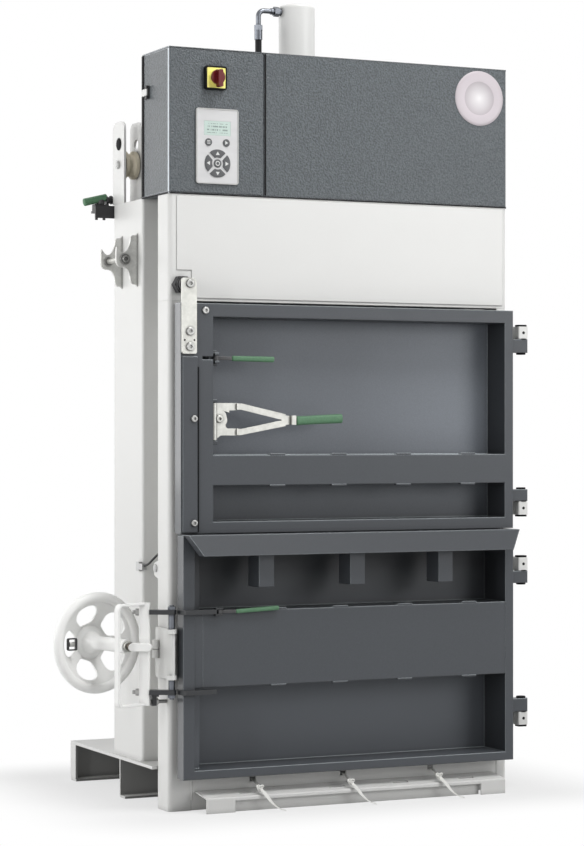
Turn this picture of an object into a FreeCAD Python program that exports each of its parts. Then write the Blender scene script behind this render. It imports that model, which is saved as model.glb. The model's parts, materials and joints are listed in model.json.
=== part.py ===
"""Upright recycling baler with an upper filling door, a lower bale door, a hydraulic press and a handwheel
lock.

Millimetres, +Z up. Shapes are drawn with Y = 0 on the frame's front face and Y growing towards the rear.
When a shape is saved it moves forward by RAM_Y, so that the part's origin lies on the floor under the press
cylinder.
"""

import FreeCAD, Part
import os
from math import atan2, cos, degrees, hypot, pi, radians, sin, tan

V = FreeCAD.Vector

# ---- driving dimensions --------------------------------------------------------------------------
RAM_Y = 286.0  # the cylinder's axis behind the front face
FRAME_HALF = 504.0  # half the width of the front frame
POST_DEPTH = 72.0
SENSOR_Z = 626.0
LEFT_JAMB, RIGHT_JAMB = -440.0, 472.0
HEADER_LOW, HEADER_HIGH = 1322.0, 1600.0
HOOD_HIGH = 1980.0
HOOD_COVER_Y, HOOD_REAR_Y = 165.0, 183.0
HOOD_SEAM_X = -231.0
CABINET_EDGE_R = 3.5  # rolled edge of the cabinet door, round its hinge line
CABINET_PIN_R = 2.0
SHEET = 3.0

BASE_HALF, BASE_REAR, BASE_TOP = 519.0, 682.0, 110.0
MIDDLE_WEB_Y = 306.0
SILL_TOP = 104.0

COLUMN_FRONT, COLUMN_REAR, COLUMN_INNER = 180.0, 389.0, 402.0
CHAMBER_HALF, CHAMBER_FRONT, CHAMBER_REAR = 396.0, 66.0, 500.0
CHAMBER_WALL = 6.0

UPPER_FRONT, UPPER_HALF, UPPER_LOW, UPPER_HIGH = -54.0, 493.0, 720.0, 1314.0
LOWER_FRONT, LOWER_HALF, LOWER_LOW, LOWER_HIGH = -62.0, 489.0, 88.0, 714.0
DOOR_SHEET = 4.0
PAN_LEFT, PAN_RIGHT = -402.0, 467.0
HINGE_X, HINGE_Y, HINGE_PIN_R = 535.0, -25.0, 7.0
# frame block, then door block: low and high
UPPER_HINGES = ((1238, 1272, 1200, 1237), (755, 792, 793, 825))
LOWER_HINGES = ((602, 638, 568, 601), (178, 214, 215, 251))

CYLINDER_R, CYLINDER_LOW, CYLINDER_HIGH = 50.0, 1400.0, 2163.0
ROD_R = 25.0
RAM_LOW, RAM_HIGH, STROKE = 1324.0, 1384.0, 650.0

EJECTOR_Y, EJECTOR_Z = 92.0, 121.5  # hinge pin of the ejector plate
TWINE_X = (-265.0, 0.0, 265.0)
RIB_TAB_X = (-218.0, -38.0, 155.0, 352.0)

LOCK_X, LOCK_Y = -510.0, -35.0  # the lock's vertical pivot
BAR_X, BAR_Y = -571.0, 0.0  # centre of the lock's upright bar
LEVER_HEIGHTS = (307.0, 513.0)  # undersides of the two lever plates
LEVER_THICK = 12.0
WHEEL_Z = 430.0
WHEEL_R, RIM_R = 120.0, 13.0  # centre line of the rim, and its round section
SPINDLE_X, SPINDLE_Y = -602.0, -4.0  # root of the threaded spindle
SPINDLE_TILT = 12.1  # degrees that the spindle leans outwards from the rearward direction
HUB_AT, DISH = 212.0, 40.0  # hub along the spindle, and the rim's offset in front of it
RUNNING = 0.05  # radial clearance of a shaft in its bore

NODES = {}


# ---- small makers --------------------------------------------------------------------------------
def box(x0, x1, y0, y1, z0, z1):
    return Part.makeBox(x1 - x0, y1 - y0, z1 - z0, V(x0, y0, z0))


def cyl(start, along, radius, length):
    return Part.makeCylinder(radius, length, V(*start), V(*along))


def join(*shapes):
    shapes = list(shapes)
    whole = shapes[0].fuse(shapes[1:]) if len(shapes) > 1 else shapes[0]
    return whole.removeSplitter()


def turn(shape, degrees, centre=(0, 0, 0), axis=(0, 0, 1)):
    turned = shape.copy()
    turned.rotate(V(*centre), V(*axis), degrees)
    return turned


def moved(shape, x=0.0, y=0.0, z=0.0):
    copy = shape.copy()
    copy.translate(V(x, y, z))
    return copy


def rounded_wire(corners, place):
    """Closed outline through (u, v, radius) corners, each one cut by a tangent arc of its radius."""
    count = len(corners)
    edges, last, first = [], None, None
    for i in range(count):
        (au, av), (bu, bv, r), (cu, cv) = corners[i - 1][:2], corners[i], corners[(i + 1) % count][:2]
        la, lc = hypot(au - bu, av - bv), hypot(cu - bu, cv - bv)
        da, dc = ((au - bu) / la, (av - bv) / la), ((cu - bu) / lc, (cv - bv) / lc)
        if r > 0:
            half = hypot(da[0] + dc[0], da[1] + dc[1]) / 2  # cosine of half the corner's angle
            sine = (1 - half * half) ** 0.5
            back = r * half / sine
            start = (bu + da[0] * back, bv + da[1] * back)
            end = (bu + dc[0] * back, bv + dc[1] * back)
            depth = r / sine - r
            norm = hypot(da[0] + dc[0], da[1] + dc[1])
            middle = (bu + (da[0] + dc[0]) / norm * depth, bv + (da[1] + dc[1]) / norm * depth)
        else:
            start = end = (bu, bv)
        if last is not None and hypot(start[0] - last[0], start[1] - last[1]) > 1e-6:
            edges.append(Part.LineSegment(place(*last), place(*start)).toShape())
        if r > 0:
            edges.append(Part.Arc(place(*start), place(*middle), place(*end)).toShape())
        first = first or start
        last = end
    if hypot(first[0] - last[0], first[1] - last[1]) > 1e-6:
        edges.append(Part.LineSegment(place(*last), place(*first)).toShape())
    return Part.Wire(edges)


def plate_xy(corners, z0, z1):
    """Flat outline in X and Y, raised from z0 to z1."""
    return Part.Face(rounded_wire(corners, lambda u, v: V(u, v, z0))).extrude(V(0, 0, z1 - z0))


def plate_xz(corners, y0, y1):
    return Part.Face(rounded_wire(corners, lambda u, v: V(u, y0, v))).extrude(V(0, y1 - y0, 0))


def plate_yz(corners, x0, x1):
    return Part.Face(rounded_wire(corners, lambda u, v: V(x0, u, v))).extrude(V(x1 - x0, 0, 0))


def folded(path, thick, bend):
    """Corners of a folded sheet's section: the path is its right-hand face, the sheet lies on its left."""
    count = len(path)
    units = []
    for (au, av), (bu, bv) in zip(path, path[1:]):
        length = hypot(bu - au, bv - av)
        units.append(((bu - au) / length, (bv - av) / length))
    near, far = [], []
    for i, (u, v) in enumerate(path):
        a, b = units[max(i - 1, 0)], units[min(i, count - 2)]
        scale = thick / (1 + a[0] * b[0] + a[1] * b[1])
        far_point = (u - (a[1] + b[1]) * scale, v + (a[0] + b[0]) * scale)
        left = a[0] * b[1] - a[1] * b[0]
        inner, outer = (bend, bend + thick) if 0 < i < count - 1 else (0, 0)
        near.append((u, v, outer if left > 0 else inner))
        far.append((*far_point, inner if left > 0 else outer))
    return near + far[::-1]


def rounded_box(x0, x1, y0, y1, z0, z1, radius):
    """Box whose upright edges are rounded."""
    return plate_xy([(x0, y0, radius), (x1, y0, radius), (x1, y1, radius), (x0, y1, radius)], z0, z1)


def hexagon(centre, along, across, height):
    """Hexagonal prism for a nut or a bolt head."""
    points = [V(across / 3**0.5 * cos(k * pi / 3), across / 3**0.5 * sin(k * pi / 3), 0) for k in range(7)]
    prism = Part.Face(Part.makePolygon(points)).extrude(V(0, 0, height))
    prism.Placement = FreeCAD.Placement(V(*centre), FreeCAD.Rotation(V(0, 0, 1), V(*along)))
    return prism


def cap_screw(centre, along, radius=8.0, height=5.0):
    """Domed screw head with a hexagon socket, its seat at the centre given."""
    head = Part.makeCylinder(radius, height)
    crown = [edge for edge in head.Edges if edge.CenterOfMass.z > height - 0.01]
    head = head.makeFillet(height * 0.5, crown)
    socket = hexagon((0, 0, height * 0.45), (0, 0, 1), radius * 0.8, height)
    head = head.cut(socket)
    head.Placement = FreeCAD.Placement(V(*centre), FreeCAD.Rotation(V(0, 0, 1), V(*along)))
    return head


def tube(points, radius, part_of_run=0.45):
    """Round cord or pipe along straight runs joined by tangent arcs."""
    points = [V(*p) for p in points]
    edges, last, radii = [], points[0], []
    for before, here, after in zip(points, points[1:], points[2:]):
        a, c = before - here, after - here
        shorter = min(a.Length, c.Length)
        half_turn = (pi - a.getAngle(c)) / 2
        back = part_of_run * shorter
        radii.append(back / tan(half_turn))
        a.normalize()
        c.normalize()
        start, end = here + a * back, here + c * back
        towards = a + c
        towards.normalize()
        middle = here + towards * (radii[-1] / cos(half_turn) - radii[-1])
        edges.append(Part.LineSegment(last, start).toShape())
        edges.append(Part.Arc(start, middle, end).toShape())
        last = end
    edges.append(Part.LineSegment(last, points[-1]).toShape())
    path = Part.Wire(edges)
    direction = points[1] - points[0]
    ring = Part.Wire([Part.makeCircle(radius, points[0], direction)])
    solid = path.makePipeShell([ring], True, False)
    print("tube: radii", [round(r, 1) for r in radii], "length", round(path.Length, 1),
          "volume ratio", round(solid.Volume / (pi * radius * radius * path.Length), 4))
    return solid


def save(name, *solids):
    """Keep one node: its solids, moved so that the origin is under the cylinder."""
    NODES[name] = moved(Part.makeCompound(list(solids)) if len(solids) > 1 else solids[0], y=-RAM_Y)


# ---- base and front frame ------------------------------------------------------------------------
def base():
    floor = box(-BASE_HALF, BASE_HALF, POST_DEPTH + 2, BASE_REAR, BASE_TOP - 8, BASE_TOP)
    bearings = []
    for x in (-370, 0, 370):
        block = box(x - 10, x + 10, EJECTOR_Y - 7, EJECTOR_Y + 7, BASE_TOP, EJECTOR_Z + 8)
        bearings.append(block.cut(cyl((x - 11, EJECTOR_Y, EJECTOR_Z), (1, 0, 0), 5, 22)))
    save("base_plate", join(floor, *bearings))
    under = BASE_TOP - 8
    rear_section = folded([(BASE_REAR - 44, 0), (BASE_REAR, 0), (BASE_REAR, under)], 6, 5)
    middle_section = folded([(MIDDLE_WEB_Y - 40, 0), (MIDDLE_WEB_Y, 0), (MIDDLE_WEB_Y, under)], 6, 5)
    rear = join(
        plate_yz(rear_section, -BASE_HALF, BASE_HALF),
        box(-BASE_HALF, -BASE_HALF + 6, BASE_REAR - 40, BASE_REAR - 6, 0, under),
        box(BASE_HALF - 6, BASE_HALF, BASE_REAR - 40, BASE_REAR - 6, 0, under),
    )
    save("base_channels", rear, plate_yz(middle_section, -BASE_HALF, BASE_HALF))


def folded_post(inner_x, outer_x, z0, z1):
    """Post folded from sheet, open at the back, with its large bend on the outer front corner."""
    side = 1 if outer_x > inner_x else -1
    outer = plate_xy(
        [(inner_x, 0, 3), (outer_x, 0, 12), (outer_x, POST_DEPTH, 0), (inner_x, POST_DEPTH, 0)], z0, z1
    )
    inner = plate_xy(
        [
            (inner_x + 5 * side, 5, 2),
            (outer_x - 5 * side, 5, 7),
            (outer_x - 5 * side, POST_DEPTH + 1, 0),
            (inner_x + 5 * side, POST_DEPTH + 1, 0),
        ],
        z0 + 5,
        z1 - 5,
    )
    return outer.cut(inner)


def front_frame():
    left = folded_post(LEFT_JAMB, -FRAME_HALF, 0, HEADER_LOW)
    right = folded_post(RIGHT_JAMB, FRAME_HALF, 0, HEADER_LOW)
    section = folded([(POST_DEPTH, 0), (0, 0), (0, SILL_TOP), (16, SILL_TOP)], -5, 4)
    sill = plate_yz(section, LEFT_JAMB, RIGHT_JAMB)
    sill = sill.cut([box(x - 9, x + 9, -2, 8, 66, 78) for x in TWINE_X])
    edge, low, high = POST_DEPTH, SENSOR_Z - 26, SENSOR_Z + 20
    outline = [(edge, low, 0), (edge + 26, low + 6, 8), (edge + 26, high - 6, 8), (edge, high, 0)]
    tab = plate_yz(outline, -504, -499)
    tab = tab.cut(cyl((-505, edge + 14, SENSOR_Z), (1, 0, 0), 6, 10))
    save("front_frame", join(left, right, sill, tab))
    half, inner_half = FRAME_HALF, FRAME_HALF - 5
    outline = [(-half, 0, 12), (half, 0, 12), (half, POST_DEPTH, 0), (-half, POST_DEPTH, 0)]
    header = plate_xy(outline, HEADER_LOW, HEADER_HIGH)
    header = header.cut(box(-inner_half, inner_half, 5, POST_DEPTH + 1, HEADER_LOW + 5, HEADER_HIGH - 5))
    header = header.cut(box(-inner_half, inner_half, CHAMBER_FRONT, 73, HEADER_LOW - 1, HEADER_HIGH + 1))
    notch_x = -440.0
    overlay = plate_xz(
        [
            (-482, HEADER_LOW + 8, 4),
            (FRAME_HALF - 14, HEADER_LOW + 8, 4),
            (FRAME_HALF - 14, HEADER_HIGH - 6, 4),
            (-482, HEADER_HIGH - 6, 4),
        ],
        -2,
        0,
    )
    overlay = overlay.cut(box(-490, notch_x, -3, 1, HEADER_LOW, 1402.0))
    save("header", join(header, overlay))


def columns_and_chamber():
    def column(side):
        x0, x1 = sorted((side * FRAME_HALF, side * COLUMN_INNER))
        outer = rounded_box(x0, x1, COLUMN_FRONT, COLUMN_REAR, BASE_TOP, HEADER_HIGH, 8)
        x0, x1 = sorted((side * (FRAME_HALF - 6), side * (COLUMN_INNER + 6)))
        return outer.cut(box(x0, x1, COLUMN_FRONT + 6, COLUMN_REAR - 6, BASE_TOP + 6, HEADER_HIGH - 6))

    save("side_columns", column(-1), column(1))
    low, high = BASE_TOP + 2, HEADER_HIGH

    def side_wall(side, jamb):
        outer = side * (CHAMBER_HALF + CHAMBER_WALL)
        x0, x1 = sorted((side * CHAMBER_HALF, outer))
        wall = box(x0, x1, CHAMBER_FRONT, CHAMBER_REAR, low, high)
        x0, x1 = sorted((outer, jamb))
        flange_low, flange_high = POST_DEPTH, POST_DEPTH + CHAMBER_WALL
        flange = box(x0, x1, flange_low, flange_high, low, HEADER_LOW)
        return join(wall, flange)

    outer_half = CHAMBER_HALF + CHAMBER_WALL
    rear = box(-outer_half, outer_half, CHAMBER_REAR, CHAMBER_REAR + CHAMBER_WALL, low, high)
    save("press_chamber", join(side_wall(-1, -FRAME_HALF + 8), side_wall(1, FRAME_HALF - 8), rear))
    ribs = []
    for z in (300.0, 620.0, 940.0, 1260.0):
        start = CHAMBER_REAR + CHAMBER_WALL
        section = folded([(start, z), (start + 50, z + 8), (start + 50, z + 72), (start, z + 80)], 4, 4)
        ribs.append(plate_yz(section, -390, 390).cut(box(-400, 400, start - 6, start, z - 10, z + 90)))
    save("rear_stiffeners", *ribs)
    beam = box(-438, 438, RAM_Y - 85, RAM_Y + 85, HEADER_HIGH, HEADER_HIGH + 100)
    beam = beam.cut([box(-450, 450, RAM_Y - 75, RAM_Y + 75, HEADER_HIGH + 10, HEADER_HIGH + 90)])
    hole = cyl((0, RAM_Y, HEADER_HIGH - 5), (0, 0, 1), CYLINDER_R + 0.5, 110)
    save("top_crossbeam", beam.cut(hole))


def press():
    barrel = cyl((0, RAM_Y, CYLINDER_LOW), (0, 0, 1), CYLINDER_R, CYLINDER_HIGH - CYLINDER_LOW)
    top = [e for e in barrel.Edges if abs(e.CenterOfMass.z - CYLINDER_HIGH) < 0.1 and e.Length > 100]
    barrel = barrel.makeFillet(9, top)
    flange = rounded_box(-85, 85, RAM_Y - 75, RAM_Y + 75, HEADER_HIGH + 100, HEADER_HIGH + 124, 14)
    bore = cyl((0, RAM_Y, CYLINDER_LOW + 30), (0, 0, 1), CYLINDER_R - 8, CYLINDER_HIGH - CYLINDER_LOW - 50)
    gland = cyl((0, RAM_Y, CYLINDER_LOW - 1), (0, 0, 1), ROD_R + RUNNING, 40)
    save("press_cylinder", join(barrel, flange).cut([bore, gland]))
    bolts = [
        join(
            hexagon((x, RAM_Y + y, HEADER_HIGH + 124), (0, 0, 1), 24, 11),
            cyl((x, RAM_Y + y, HEADER_HIGH + 124), (0, 0, 1), 7, 16),
        )
        for x in (-68, 68)
        for y in (-58, 58)
    ]
    save("cylinder_bolts", *bolts)
    piston_low = CYLINDER_LOW + 32 + STROKE
    rod = cyl((0, RAM_Y, RAM_HIGH), (0, 0, 1), ROD_R, piston_low - RAM_HIGH)
    piston = cyl((0, RAM_Y, piston_low), (0, 0, 1), CYLINDER_R - 8 - RUNNING, 40)
    save("piston_rod", join(rod, piston))
    ram = box(-386, 386, 84, 490, RAM_LOW, RAM_HIGH)
    hollow = box(-380, 380, 90, 484, RAM_LOW + 8, RAM_HIGH + 1)
    ribs = [box(x - 4, x + 4, 90, 484, RAM_LOW + 8, RAM_HIGH - 8) for x in (-120, 120)]
    boss = cyl((0, RAM_Y, RAM_LOW + 8), (0, 0, 1), 60, RAM_HIGH - RAM_LOW - 8)
    grooves = [box(x - 12, x + 12, 80, 495, RAM_LOW - 1, RAM_LOW + 4) for x in TWINE_X]
    save("ram_plate", join(ram.cut(hollow), boss, *ribs).cut(grooves))


# ---- hydraulics on the cylinder and inside the hood ----------------------------------------------
HOSE_X, HOSE_Y, HOSE_TOP = -117.0, RAM_Y, 2062.0


def hydraulics():
    union_z = 2143.0
    nut = hexagon((-CYLINDER_R - 21, RAM_Y, union_z), (1, 0, 0), 24, 15)
    neck = cyl((-CYLINDER_R - 8, RAM_Y, union_z), (1, 0, 0), 10, 14)
    neck = neck.cut(cyl((0, RAM_Y, CYLINDER_LOW), (0, 0, 1), CYLINDER_R, 800))
    flare = cyl((-CYLINDER_R - 30, RAM_Y, union_z), (1, 0, 0), 9, 10)
    start_x = -CYLINDER_R - 30
    pipe = tube([(start_x, RAM_Y, union_z), (HOSE_X, RAM_Y, union_z), (HOSE_X, RAM_Y, 2102)], 7)
    ferrule = join(
        cyl((HOSE_X, HOSE_Y, HOSE_TOP), (0, 0, 1), 11, 26),
        hexagon((HOSE_X, HOSE_Y, HOSE_TOP + 26), (0, 0, 1), 22, 14),
    )
    save("pressure_line", join(nut, neck, flare), pipe, ferrule)
    hose = tube(
        [
            (HOSE_X, HOSE_Y, HOSE_TOP),
            (HOSE_X, HOSE_Y, 1940),
            (HOSE_X, HOSE_Y - 18, 1864),
            (HOSE_X, HOOD_REAR_Y + 44, 1822),
            (HOSE_X, HOOD_REAR_Y, 1822),
        ],
        9,
    )
    save("pressure_hose", hose)
    tank = rounded_box(40, 440, 14, 168, HEADER_HIGH + 4, HEADER_HIGH + 190, 16)
    filler = cyl((390, 90, HEADER_HIGH + 190), (0, 0, 1), 22, 24)
    save("oil_tank", join(tank, filler))
    motor = join(
        cyl((170, 90, HEADER_HIGH + 190), (0, 0, 1), 62, 130),
        rounded_box(108, 232, 28, 152, HEADER_HIGH + 190, HEADER_HIGH + 204, 10),
        box(228, 250, 60, 120, HEADER_HIGH + 230, HEADER_HIGH + 290),
    )
    save("pump_motor", motor)


# ---- hood ----------------------------------------------------------------------------------------
def hood():
    low = HEADER_HIGH + SHEET
    hinge_x, hinge_y = HOOD_SEAM_X - 4.5, CABINET_EDGE_R
    section = folded([(HOOD_SEAM_X, 0), (FRAME_HALF, 0), (FRAME_HALF, HOOD_REAR_Y - SHEET)], SHEET, 3)
    save("hood_cover", plate_xy(section, low, HOOD_HIGH - SHEET))
    floor = rounded_box(-FRAME_HALF, FRAME_HALF, 0, HOOD_REAR_Y, HEADER_HIGH, low, 3)
    top = rounded_box(-FRAME_HALF, FRAME_HALF, 0, HOOD_REAR_Y, HOOD_HIGH - SHEET, HOOD_HIGH, 3)
    rear = plate_xy(
        folded(
            [
                (FRAME_HALF, HOOD_REAR_Y),
                (-FRAME_HALF, HOOD_REAR_Y),
                (-FRAME_HALF, HOOD_COVER_Y + 4),
            ],
            SHEET,
            2,
        ),
        low,
        HOOD_HIGH - SHEET,
    )
    socket_r = CABINET_PIN_R + RUNNING
    sockets = cyl((hinge_x, hinge_y, HEADER_HIGH - 1), (0, 0, 1), socket_r, HOOD_HIGH - HEADER_HIGH + 2)
    save("hood_shell", join(floor, top, rear).cut(sockets))
    gap = 1.0
    door = plate_xy(
        folded(
            [
                (-FRAME_HALF, HOOD_COVER_Y),
                (-FRAME_HALF, 0),
                (hinge_x, 0),
            ],
            SHEET,
            3,
        ),
        low + gap,
        HOOD_HIGH - SHEET - gap,
    )
    edge = cyl((hinge_x, hinge_y, low + gap), (0, 0, 1), CABINET_EDGE_R, HOOD_HIGH - SHEET - low - 2 * gap)
    pins = cyl((hinge_x, hinge_y, HEADER_HIGH + 0.5), (0, 0, 1), CABINET_PIN_R, HOOD_HIGH - HEADER_HIGH - 1)
    save("cabinet_door", join(door, edge, pins))
    switch_x, switch_z = -373.0, 1904.5
    base_plate = rounded_box(-28.5, 28.5, -28.5, 28.5, 0, 9, 3)
    yellow = rounded_box(-27.5, 27.5, -27.5, 27.5, 0, 3, 3)
    collar = Part.makeCylinder(21, 4)
    to_front = FreeCAD.Rotation(V(1, 0, 0), 90)
    for shape, depth in ((base_plate, 0), (yellow, -9), (collar, -12)):
        shape.Placement = FreeCAD.Placement(V(switch_x, depth, switch_z), to_front)
    save("switch_plate", join(base_plate, yellow, collar))
    knob = join(Part.makeCylinder(19, 7), rounded_box(-6.5, 6.5, -27, 18, 5, 23, 4))
    knob.Placement = FreeCAD.Placement(V(switch_x, -16.4, switch_z), to_front)
    save("switch_knob", knob)
    latch_z = 1876.0
    latch_x = -FRAME_HALF
    seat = join(
        box(latch_x - 3, latch_x, 130, 158, latch_z - 17, latch_z + 17),
        box(latch_x - 9, latch_x - 3, 130, 140, latch_z - 17, latch_z - 10),
        box(latch_x - 9, latch_x - 3, 130, 140, latch_z + 10, latch_z + 17),
    )
    save("latch_seat", join(seat, cyl((latch_x - 6, 135, latch_z - 17), (0, 0, 1), 1.6, 34)))
    blade = [(latch_x - 8, 135, 0), (latch_x - 8, 168, 2), (latch_x - 3.6, 168, 1), (latch_x - 3.6, 135, 0)]
    lever = join(
        cyl((latch_x - 6, 135, latch_z - 9), (0, 0, 1), 2.7, 18),
        plate_xy(blade, latch_z - 9, latch_z + 9),
    )
    save("latch_lever", lever.cut(cyl((latch_x - 6, 135, latch_z - 18), (0, 0, 1), 1.6 + RUNNING, 36)))


PANEL_X, PANEL_Z = -368.0, 1726.0
PANEL_W, PANEL_H, PANEL_PROUD = 120.0, 196.0, 5.0
DISPLAY_Z, DISPLAY_W, DISPLAY_H = 1773.0, 76.0, 38.0
KEYPAD_Z = 1681.5
ROUND_KEYS = ((-393.5, 1736.0), (-343.0, 1736.0))


def control_panel():
    """Shallow bezel round a keypad film with raised fields for its keys and a window for the display."""
    half_w, half_h = PANEL_W / 2, PANEL_H / 2

    def field(inset, radius, y0, y1):
        x0, x1 = PANEL_X - half_w + inset, PANEL_X + half_w - inset
        z0, z1 = PANEL_Z - half_h + inset, PANEL_Z + half_h - inset
        return plate_xz([(x0, z0, radius), (x1, z0, radius), (x1, z1, radius), (x0, z1, radius)], y0, y1)

    front = -PANEL_PROUD
    save("control_panel", field(0, 7, front, 0).cut(field(3, 4, front - 1, front + 2)))
    back, face, raised = front + 2, front + 1, front + 0.2
    window = box(PANEL_X - DISPLAY_W / 2, PANEL_X + DISPLAY_W / 2, front - 1, 0,
                 DISPLAY_Z - DISPLAY_H / 2, DISPLAY_Z + DISPLAY_H / 2)
    keys = [cyl((x, raised, z), (0, 1, 0), 10.3, 1) for x, z in ROUND_KEYS]
    keys.append(cyl((PANEL_X, raised, KEYPAD_Z), (0, 1, 0), 11, 1))
    ring = cyl((PANEL_X, raised, KEYPAD_Z), (0, 1, 0), 37.5, 1)
    ring = ring.cut(cyl((PANEL_X, raised - 1, KEYPAD_Z), (0, 1, 0), 14, 4))
    spokes = moved(box(-60, 60, raised - 1, back, -1.6, 1.6), PANEL_X, 0, KEYPAD_Z)
    ring = ring.cut([turn(spokes, angle, (PANEL_X, 0, KEYPAD_Z), (0, 1, 0)) for angle in (45, 135)])
    film = field(3.2, 4, face, back).cut(window)
    save("keypad_film", join(film, *keys, ring))
    inset = 0.4
    save("display", box(PANEL_X - DISPLAY_W / 2 + inset, PANEL_X + DISPLAY_W / 2 - inset, face + 0.3, back,
                        DISPLAY_Z - DISPLAY_H / 2 + inset, DISPLAY_Z + DISPLAY_H / 2 - inset))


# ---- doors ---------------------------------------------------------------------------------------
def door_pan(half, front, low, high, left, right, sill, lintel, back):
    """Door folded as a tray: a hollow border round a recess that reaches back to the pan."""
    t = DOOR_SHEET
    border_back = front + 39.0
    border = box(-half, half, front, border_back, low, high)
    border = border.cut(box(-half + t, half - t, front + t, border_back + 1, low + t, high - t))
    walls = box(left - t, right + t, front + t, back, sill - t, lintel + t)
    shape = join(border, walls)
    return shape.cut(box(left, right, front - 1, back - t, sill, lintel))


def rib(left, right, front, back, low, high, tabs=True):
    """Folded channel across a recess, with small tabs along both of its front edges."""
    t = DOOR_SHEET
    channel = box(left, right, front, back, low, high)
    channel = channel.cut(box(left - 1, right + 1, front + t, back + 1, low + t, high - t))
    if not tabs:
        return channel
    lugs = [box(x - 24, x + 24, front + 2, front + 10, z0, z1)
            for x in RIB_TAB_X for z0, z1 in ((high, high + 2.5), (low - 2.5, low))]
    return join(channel, *lugs)


def hinge_parts(rows, door_half):
    """Hinges in one line: blocks for the frame, pins with their caps, and blocks for the door."""
    door_blocks, frame_blocks, pins = [], [], []
    for frame_low, frame_high, door_low, door_high in rows:
        low, high = min(frame_low, door_low), max(frame_high, door_high)
        bore = cyl((HINGE_X, HINGE_Y, low - 20), (0, 0, 1), HINGE_PIN_R + RUNNING, high - low + 40)
        outer, stepped = HINGE_X + 15, FRAME_HALF + 15
        door_section = [(door_half, -40, 0), (outer, -40, 6), (outer, -10, 6), (door_half, -10, 0)]
        door_blocks.append(plate_xy(door_section, door_low, door_high).cut(bore))
        frame_section = [(FRAME_HALF, 5, 0), (stepped, 5, 0), (stepped, -40, 4), (outer, -40, 6),
                         (outer, 32, 6), (FRAME_HALF, 32, 0)]
        set_screw = cyl((HINGE_X, -41, (frame_low + frame_high) / 2), (0, 1, 0), 2, 5)
        frame_blocks.append(plate_xy(frame_section, frame_low, frame_high).cut([bore, set_screw]))
        over = frame_low > door_low
        cap_z = frame_high if over else frame_low - 5
        cap = rounded_box(HINGE_X - 13, HINGE_X + 13, HINGE_Y - 13, HINGE_Y + 13, cap_z, cap_z + 5, 5)
        end = low + 0.5 if over else low
        length = high - end if over else high - 0.5 - low
        pins.append(join(cyl((HINGE_X, HINGE_Y, end), (0, 0, 1), HINGE_PIN_R, length), cap))
    return frame_blocks, pins, door_blocks


def upper_door(blocks, stands):
    pan = door_pan(UPPER_HALF, UPPER_FRONT, UPPER_LOW, UPPER_HIGH, PAN_LEFT, PAN_RIGHT, 750, 1279.6, 44)
    notches = [box(PAN_LEFT - 6, PAN_LEFT + 6, UPPER_FRONT + 6, UPPER_FRONT + 18, z - 5, z + 5)
               for z in (1262, 1173, 922, 846)]
    notches.append(box(PAN_LEFT - 30, PAN_LEFT + 6, UPPER_FRONT - 1, UPPER_FRONT + 9, 1173 - 4, 1173 + 4))
    cover = plate_xz([(-489, UPPER_LOW + 3, 2), (-447, UPPER_LOW + 3, 2), (-447, 1176, 2), (-489, 1176, 2)],
                     UPPER_FRONT - 4, UPPER_FRONT)
    bar = rib(PAN_LEFT, PAN_RIGHT, UPPER_FRONT, 40, 844, 922)
    save("upper_door", join(pan.cut(notches), bar, cover, *blocks, *stands))


def lower_door(blocks):
    """Tray like the upper one, with a step inside its left stile that clears the post as it swings."""
    t = DOOR_SHEET
    left, inset, right, floor = -457.0, -426.0, 464.0, -19.0
    pan = door_pan(LOWER_HALF, LOWER_FRONT, LOWER_LOW, LOWER_HIGH, left, right, 111, 690, floor + t)
    deep = box(inset - t, right + t, floor, 56, 111 - t, 690 + t)
    pan = join(pan, deep).cut(box(inset, right, floor - 1, 52, 111, 690))
    shallow = box(-435, right, LOWER_FRONT + 1, floor, 324, 520)
    shallow = shallow.cut(box(-435 + t, right + 1, LOWER_FRONT + 1 + t, floor + 1, 324 + t, 520 - t))
    bar = rib(inset, right, floor, 52, 324, 520, tabs=False)
    bar = bar.cut(box(inset - 1, right + 1, floor - 1, floor + t + 1, 324 + t, 520 - t))
    tabs = [box(x - 24, x + 24, LOWER_FRONT + 3, LOWER_FRONT + 11, z0, z1)
            for x in RIB_TAB_X for z0, z1 in ((520, 522.5), (321.5, 324))]
    guides = []
    for x in TWINE_X:
        front, back, under = -86.0, -24.0, 683.5
        body = join(box(x - 21.5, x + 21.5, front, LOWER_FRONT, 580, LOWER_HIGH),
                    box(x - 21.5, x + 21.5, LOWER_FRONT, floor, 580, under))
        hollows = [box(x - 18.5, x + 18.5, front + 3, back, 579, under - 4),
                   box(x - 18.5, x + 18.5, front + 3, LOWER_FRONT - 3, 600, LOWER_HIGH - 4)]
        guides.append(body.cut(hollows))
    save("lower_door", join(pan, shallow, bar, *tabs, *guides, *blocks))


def doors(upper_stands):
    frames, pins, upper_blocks = hinge_parts(UPPER_HINGES, UPPER_HALF)
    more_frames, more_pins, lower_blocks = hinge_parts(LOWER_HINGES, LOWER_HALF)
    save("frame_hinge_blocks", *frames, *more_frames)
    save("hinge_pins", *pins, *more_pins)
    upper_door(upper_blocks, upper_stands)
    lower_door(lower_blocks)


def loft(low_rect, high_rect):
    """Solid between two level rectangles, each given as x0, x1, y0, y1, z."""
    wires = []
    for x0, x1, y0, y1, z in (low_rect, high_rect):
        corners = [V(x0, y0, z), V(x1, y0, z), V(x1, y1, z), V(x0, y1, z)]
        wires.append(Part.makePolygon([*corners, corners[0]]))
    return Part.makeLoft(wires, True, True)


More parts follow.
